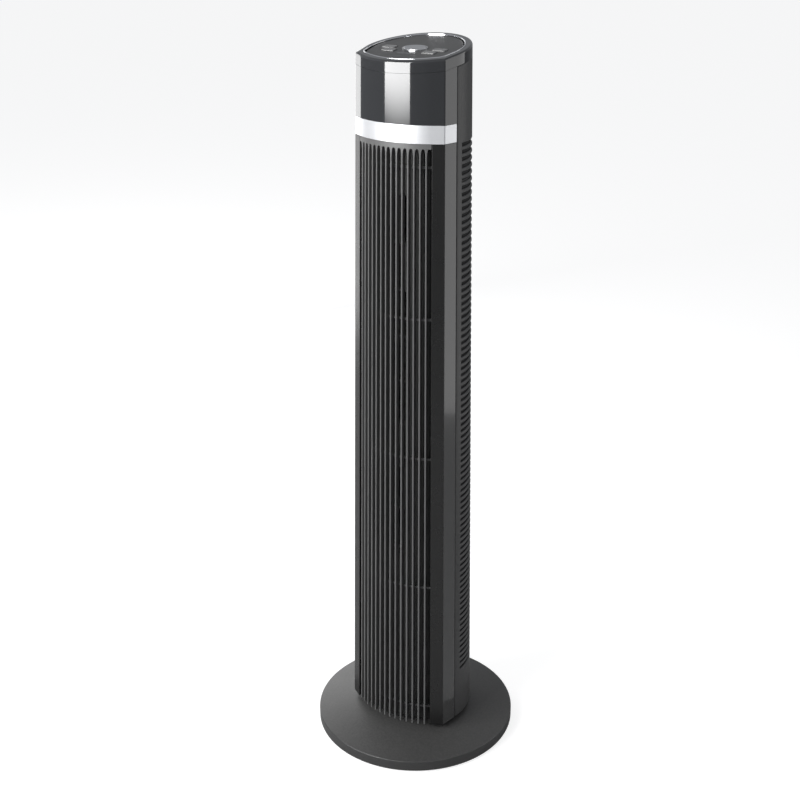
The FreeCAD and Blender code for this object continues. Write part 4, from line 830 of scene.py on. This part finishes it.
def onTopPlane(spot, frontHeight):
    # where a plan point, carried along the taper, meets a sloped plane
    lean = math.tan(math.radians(tower["slope"]))
    narrowing = tower["taper"] / tower["length"]
    behind = spot.y - tower["taperBack"]
    height = (frontHeight + lean * (tower["taperBack"] + tower["frontReach"])
              + lean * behind * (1 + narrowing * tower["foot"])) / (
                  1 + lean * narrowing * behind)
    return taperStep(tower["foot"], height) @ (spot + Vector((0, 0, tower["foot"])))


def cornerArc(before, corner, after, radius, steps=8):
    # rounds one corner of an outline that turns to the left
    first, second = (corner - before).normalized(), (after - corner).normalized()
    turn = first.angle(second)
    start = corner - first * radius * math.tan(turn / 2)
    centre = start + Vector((-first.y, first.x, 0)) * radius
    return [centre + Matrix.Rotation(turn * i / steps, 3, "Z") @ (start - centre)
            for i in range(steps + 1)]


def topSpots(inset, frontHeight, radius):
    front = frontPath(inset)
    outline = (front[:1] + cornerArc(*front[0:3], radius) + front[2:-2]
               + cornerArc(*front[-3:], radius) + front[-1:] + rearPath(inset)[1:-1])
    return [onTopPlane(spot, frontHeight) for spot in outline]


def ringSolid(*loops):
    # carries a closed loop from one outline to the next and back to the first
    bm = bmesh.new()
    verts = [bm.verts.new(spot) for spot in topSpots(*loops[0])]
    rows = [[bm.edges.new(pair) for pair in zip(verts, verts[1:] + verts[:1])]]
    for loop in loops[1:] + loops[:1]:
        made = bmesh.ops.extrude_edge_only(bm, edges=rows[-1])["geom"]
        fresh = {part for part in made if isinstance(part, BMVert)}
        verts = [next(edge.other_vert(vert) for edge in vert.link_edges
                      if edge.other_vert(vert) in fresh) for vert in verts]
        for vert, spot in zip(verts, topSpots(*loop)):
            vert.co = spot
        rows.append([part for part in made if isinstance(part, BMEdge)
                     and all(vert in fresh for vert in part.verts)])
    return bm, rows


def closeRing(bm):
    bmesh.ops.remove_doubles(bm, verts=bm.verts, dist=1e-6)
    bmesh.ops.recalc_face_normals(bm, faces=bm.faces)


def makeCap():
    rings = topRings
    inset, corner, hole = rings["beadInset"], rings["corner"], rings["beadCorner"]
    bm, rows = ringSolid((0.0, seamFront, corner), (0.0, topFront, corner),
                         (inset, topFront, hole), (inset, seamFront, hole))
    bevelEdges(bm, rows[1], rings["shoulder"], 5)
    closeRing(bm)
    finished(bm, "gloss_cap", "tower", finishes["head_gloss"], ["top_cap"])


def makeBead():
    rings = topRings
    low = topFront - rings["panelDrop"] - rings["panelThickness"]
    high = topFront + rings["beadStand"]
    outer = rings["beadInset"] + rings["hairGap"]
    inner = rings["beadInset"] + rings["beadWidth"]
    corner = rings["beadCorner"]
    bm, rows = ringSolid((outer, low, corner), (outer, high, corner),
                         (inner, high, corner - rings["beadWidth"]),
                         (inner, low, corner - rings["beadWidth"]))
    bevelEdges(bm, rows[1] + rows[2], rings["beadEdge"], 4)
    closeRing(bm)
    finished(bm, "bright_bead", "tower", finishes["bright_trim"], ["panel_rim"])


makeCap()
makeBead()


def onSlope(x, y, drop=0.0):
    # places a piece on the sloped top: x across, y up the slope, drop below the face
    lean = math.radians(tower["slope"])
    spot = Vector((x, 0, topFront + tower["frontReach"] * math.tan(lean)))
    spot += Vector((0, math.cos(lean), math.sin(lean))) * y
    spot -= Vector((0, -math.sin(lean), math.cos(lean))) * drop
    return Matrix.Translation(spot) @ Matrix.Rotation(lean, 4, "X")


flatKeys = dict(
    length=0.0150,
    depth=0.0080,
    height=0.0060,
    stand=0.0009,
    corner=0.0015,
    edge=0.0006,
    dishInset=0.0008,
    dishDepth=0.00018,
    spots=dict(speed_key=(-0.024, -0.0115), timer_key=(-0.030, -0.0015),
               swing_key=(0.024, -0.0115), mode_key=(0.030, -0.0015)),
)


def makeFlatKey(name):
    x, y = flatKeys["spots"][name]
    drop = topRings["panelDrop"] * math.cos(math.radians(tower["slope"]))
    bm = bmesh.new()
    bmesh.ops.create_cube(bm, size=1.0)
    bmesh.ops.scale(bm, vec=(flatKeys["length"], flatKeys["depth"], flatKeys["height"]),
                    verts=bm.verts)
    bevelEdges(bm, [edge for edge in bm.edges if uprightEdge(edge)], flatKeys["corner"], 5)
    top = max(bm.faces, key=lambda face: face.calc_center_median().z)
    bevelEdges(bm, top.edges[:], flatKeys["edge"], 4)
    top = max(bm.faces, key=lambda face: face.calc_area() * (face.normal.z > 0.9))
    bmesh.ops.inset_region(bm, faces=[top], thickness=flatKeys["dishInset"],
                           depth=-flatKeys["dishDepth"], use_even_offset=True)
    rise = Matrix.Translation((0, 0, flatKeys["stand"] - flatKeys["height"] / 2))
    bmesh.ops.transform(bm, matrix=onSlope(x, y, drop) @ rise, verts=bm.verts)
    finished(bm, name.replace("_key", "_pad"), name, finishes["key_grey"], [name])


powerButton = dict(
    length=0.0250,
    depth=0.0160,
    forward=0.0010,
    height=0.0063,
    stand=0.0012,
    edge=0.0007,
    dish=((0.0009, 0.00025), (0.0012, 0.0002), (0.0016, 0.0001)),   # width and drop of each ring
    steps=72,
)


def makePowerButton():
    drop = topRings["panelDrop"] * math.cos(math.radians(tower["slope"]))
    bm = bmesh.new()
    bmesh.ops.create_circle(bm, cap_ends=True, segments=powerButton["steps"], radius=0.5)
    bmesh.ops.scale(bm, vec=(powerButton["length"], powerButton["depth"], 1), verts=bm.verts)
    made = bmesh.ops.extrude_face_region(bm, geom=bm.faces[:])["geom"]
    raised = [part for part in made if isinstance(part, BMVert)]
    bmesh.ops.translate(bm, vec=(0, 0, powerButton["height"]), verts=raised)
    bmesh.ops.recalc_face_normals(bm, faces=bm.faces)
    top = max(bm.faces, key=lambda face: face.calc_center_median().z)
    bevelEdges(bm, top.edges[:], powerButton["edge"], 4)
    top = max(bm.faces, key=lambda face: face.calc_area() * (face.normal.z > 0.9))
    for width, fall in powerButton["dish"]:
        bmesh.ops.inset_region(bm, faces=[top], thickness=width, depth=-fall,
                               use_even_offset=True)
    rise = Matrix.Translation((0, 0, powerButton["stand"] - powerButton["height"]))
    place = onSlope(0, -powerButton["forward"], drop)
    bmesh.ops.transform(bm, matrix=place @ rise, verts=bm.verts)
    finished(bm, "power_dish", "power_button", finishes["button_silver"],
             ["power_button"])


for name in flatKeys["spots"]:
    makeFlatKey(name)
makePowerButton()
print("top made")


# floor, lights and camera
studio = dict(
    size=30.0,              # half of the floor's side
    floor=0.42,             # how pale the floor is
    floorLift=0.78,         # added where the camera sees it
    surround=0.34,          # what the gloss surfaces see around them
    surroundTint=(0.94, 0.96, 1.0, 1),
    backdrop=0.95,
)
softboxes = dict(
    frontSoftbox=dict(azimuth=-20.6, distance=1.5, low=0.48, high=1.60, width=1.06,
                      strength=12.5, fade=0.16),
    leftSoftbox=dict(azimuth=-116, distance=1.5, low=0.0, high=1.20, width=1.2, strength=3.0),
    rightSoftbox=dict(azimuth=128, distance=1.1, low=0.0, high=1.30, width=0.8, strength=1.3),
)
studioCamera = dict(
    lens=55.35,
    sensor=36.0,
    shift=-0.01925,
    place=(0.7059, -1.0466, 0.9253),
    tilt=67.93,             # degrees up from straight down
    turn=34.0,              # degrees round to the fan's left
)


def emptyTree(owner):
    owner.use_nodes = True
    owner.node_tree.nodes.clear()
    return owner.node_tree


def makeFloor():
    bm = bmesh.new()
    bmesh.ops.create_grid(bm, x_segments=1, y_segments=1, size=studio["size"])
    mesh = bpy.data.meshes.new("studio_floor")
    bm.to_mesh(mesh)
    bm.free()
    floor = bpy.data.objects.new("studio_floor", mesh)
    bpy.context.collection.objects.link(floor)
    paper = bpy.data.materials.new("paperFloor")
    tree = emptyTree(paper)
    matte = tree.nodes.new("ShaderNodeBsdfDiffuse")
    matte.inputs["Color"].default_value = (studio["floor"],) * 3 + (1,)
    lift = tree.nodes.new("ShaderNodeEmission")
    path = tree.nodes.new("ShaderNodeLightPath")
    strength = mathNode(tree, "MULTIPLY", path.outputs["Is Camera Ray"], studio["floorLift"])
    tree.links.new(strength, lift.inputs["Strength"])
    both = tree.nodes.new("ShaderNodeAddShader")
    tree.links.new(matte.outputs[0], both.inputs[0])
    tree.links.new(lift.outputs[0], both.inputs[1])
    output = tree.nodes.new("ShaderNodeOutputMaterial")
    tree.links.new(both.outputs[0], output.inputs["Surface"])
    mesh.materials.append(paper)


def makeSurround():
    world = bpy.data.worlds.new("studioSurround")
    bpy.context.scene.world = world
    tree = emptyTree(world)
    path = tree.nodes.new("ShaderNodeLightPath")
    seen = tree.nodes.new("ShaderNodeBackground")
    seen.inputs["Color"].default_value = (1, 1, 1, 1)
    seen.inputs["Strength"].default_value = studio["backdrop"]
    around = tree.nodes.new("ShaderNodeBackground")
    around.inputs["Color"].default_value = studio["surroundTint"]
    around.inputs["Strength"].default_value = studio["surround"]
    mixed = tree.nodes.new("ShaderNodeMixShader")
    output = tree.nodes.new("ShaderNodeOutputWorld")
    tree.links.new(path.outputs["Is Camera Ray"], mixed.inputs["Fac"])
    tree.links.new(around.outputs[0], mixed.inputs[1])
    tree.links.new(seen.outputs[0], mixed.inputs[2])
    tree.links.new(mixed.outputs[0], output.inputs["Surface"])


def makeSoftbox(name, azimuth, distance, low, high, width, strength, fade=0.0):
    # an upright glowing card that faces the fan; its light fades out at the lower edge
    bm = bmesh.new()
    bmesh.ops.create_grid(bm, x_segments=1, y_segments=1, size=0.5)
    turn = math.radians(azimuth)
    spot = Vector((distance * math.sin(turn), -distance * math.cos(turn), (low + high) / 2))
    place = (Matrix.Translation(spot) @ Matrix.Rotation(turn, 4, "Z")
             @ Matrix.Rotation(math.radians(90), 4, "X") @ Matrix.Diagonal(
                 (width, high - low, 1, 1)))
    bmesh.ops.transform(bm, matrix=place, verts=bm.verts)
    mesh = bpy.data.meshes.new(name)
    bm.to_mesh(mesh)
    bm.free()
    card = bpy.data.objects.new(name, mesh)
    bpy.context.collection.objects.link(card)
    glow = bpy.data.materials.new(name + "Glow")
    tree = emptyTree(glow)
    lamp = tree.nodes.new("ShaderNodeEmission")
    output = tree.nodes.new("ShaderNodeOutputMaterial")
    lamp.inputs["Strength"].default_value = strength
    if fade:
        place = tree.nodes.new("ShaderNodeTexCoord")
        split = tree.nodes.new("ShaderNodeSeparateXYZ")
        tree.links.new(place.outputs["Object"], split.inputs[0])
        ramp = tree.nodes.new("ShaderNodeMapRange")
        ramp.interpolation_type = "SMOOTHSTEP"
        ramp.inputs["From Min"].default_value = low
        ramp.inputs["From Max"].default_value = low + fade
        ramp.inputs["To Max"].default_value = strength
        tree.links.new(split.outputs["Z"], ramp.inputs["Value"])
        tree.links.new(ramp.outputs["Result"], lamp.inputs["Strength"])
    tree.links.new(lamp.outputs[0], output.inputs["Surface"])
    mesh.materials.append(glow)
    card.visible_camera = False
    card.visible_shadow = False


def makeCamera():
    data = bpy.data.cameras.new("studioCamera")
    data.lens = studioCamera["lens"]
    data.sensor_width = studioCamera["sensor"]
    data.shift_x = studioCamera["shift"]
    camera = bpy.data.objects.new("studioCamera", data)
    camera.location = studioCamera["place"]
    camera.rotation_euler = (math.radians(studioCamera["tilt"]), 0,
                             math.radians(studioCamera["turn"]))
    bpy.context.collection.objects.link(camera)
    bpy.context.scene.camera = camera


makeFloor()
makeSurround()
for name, box in softboxes.items():
    makeSoftbox(name, **box)
makeCamera()
bpy.context.scene.view_settings.view_transform = "Standard"
print("stage made")
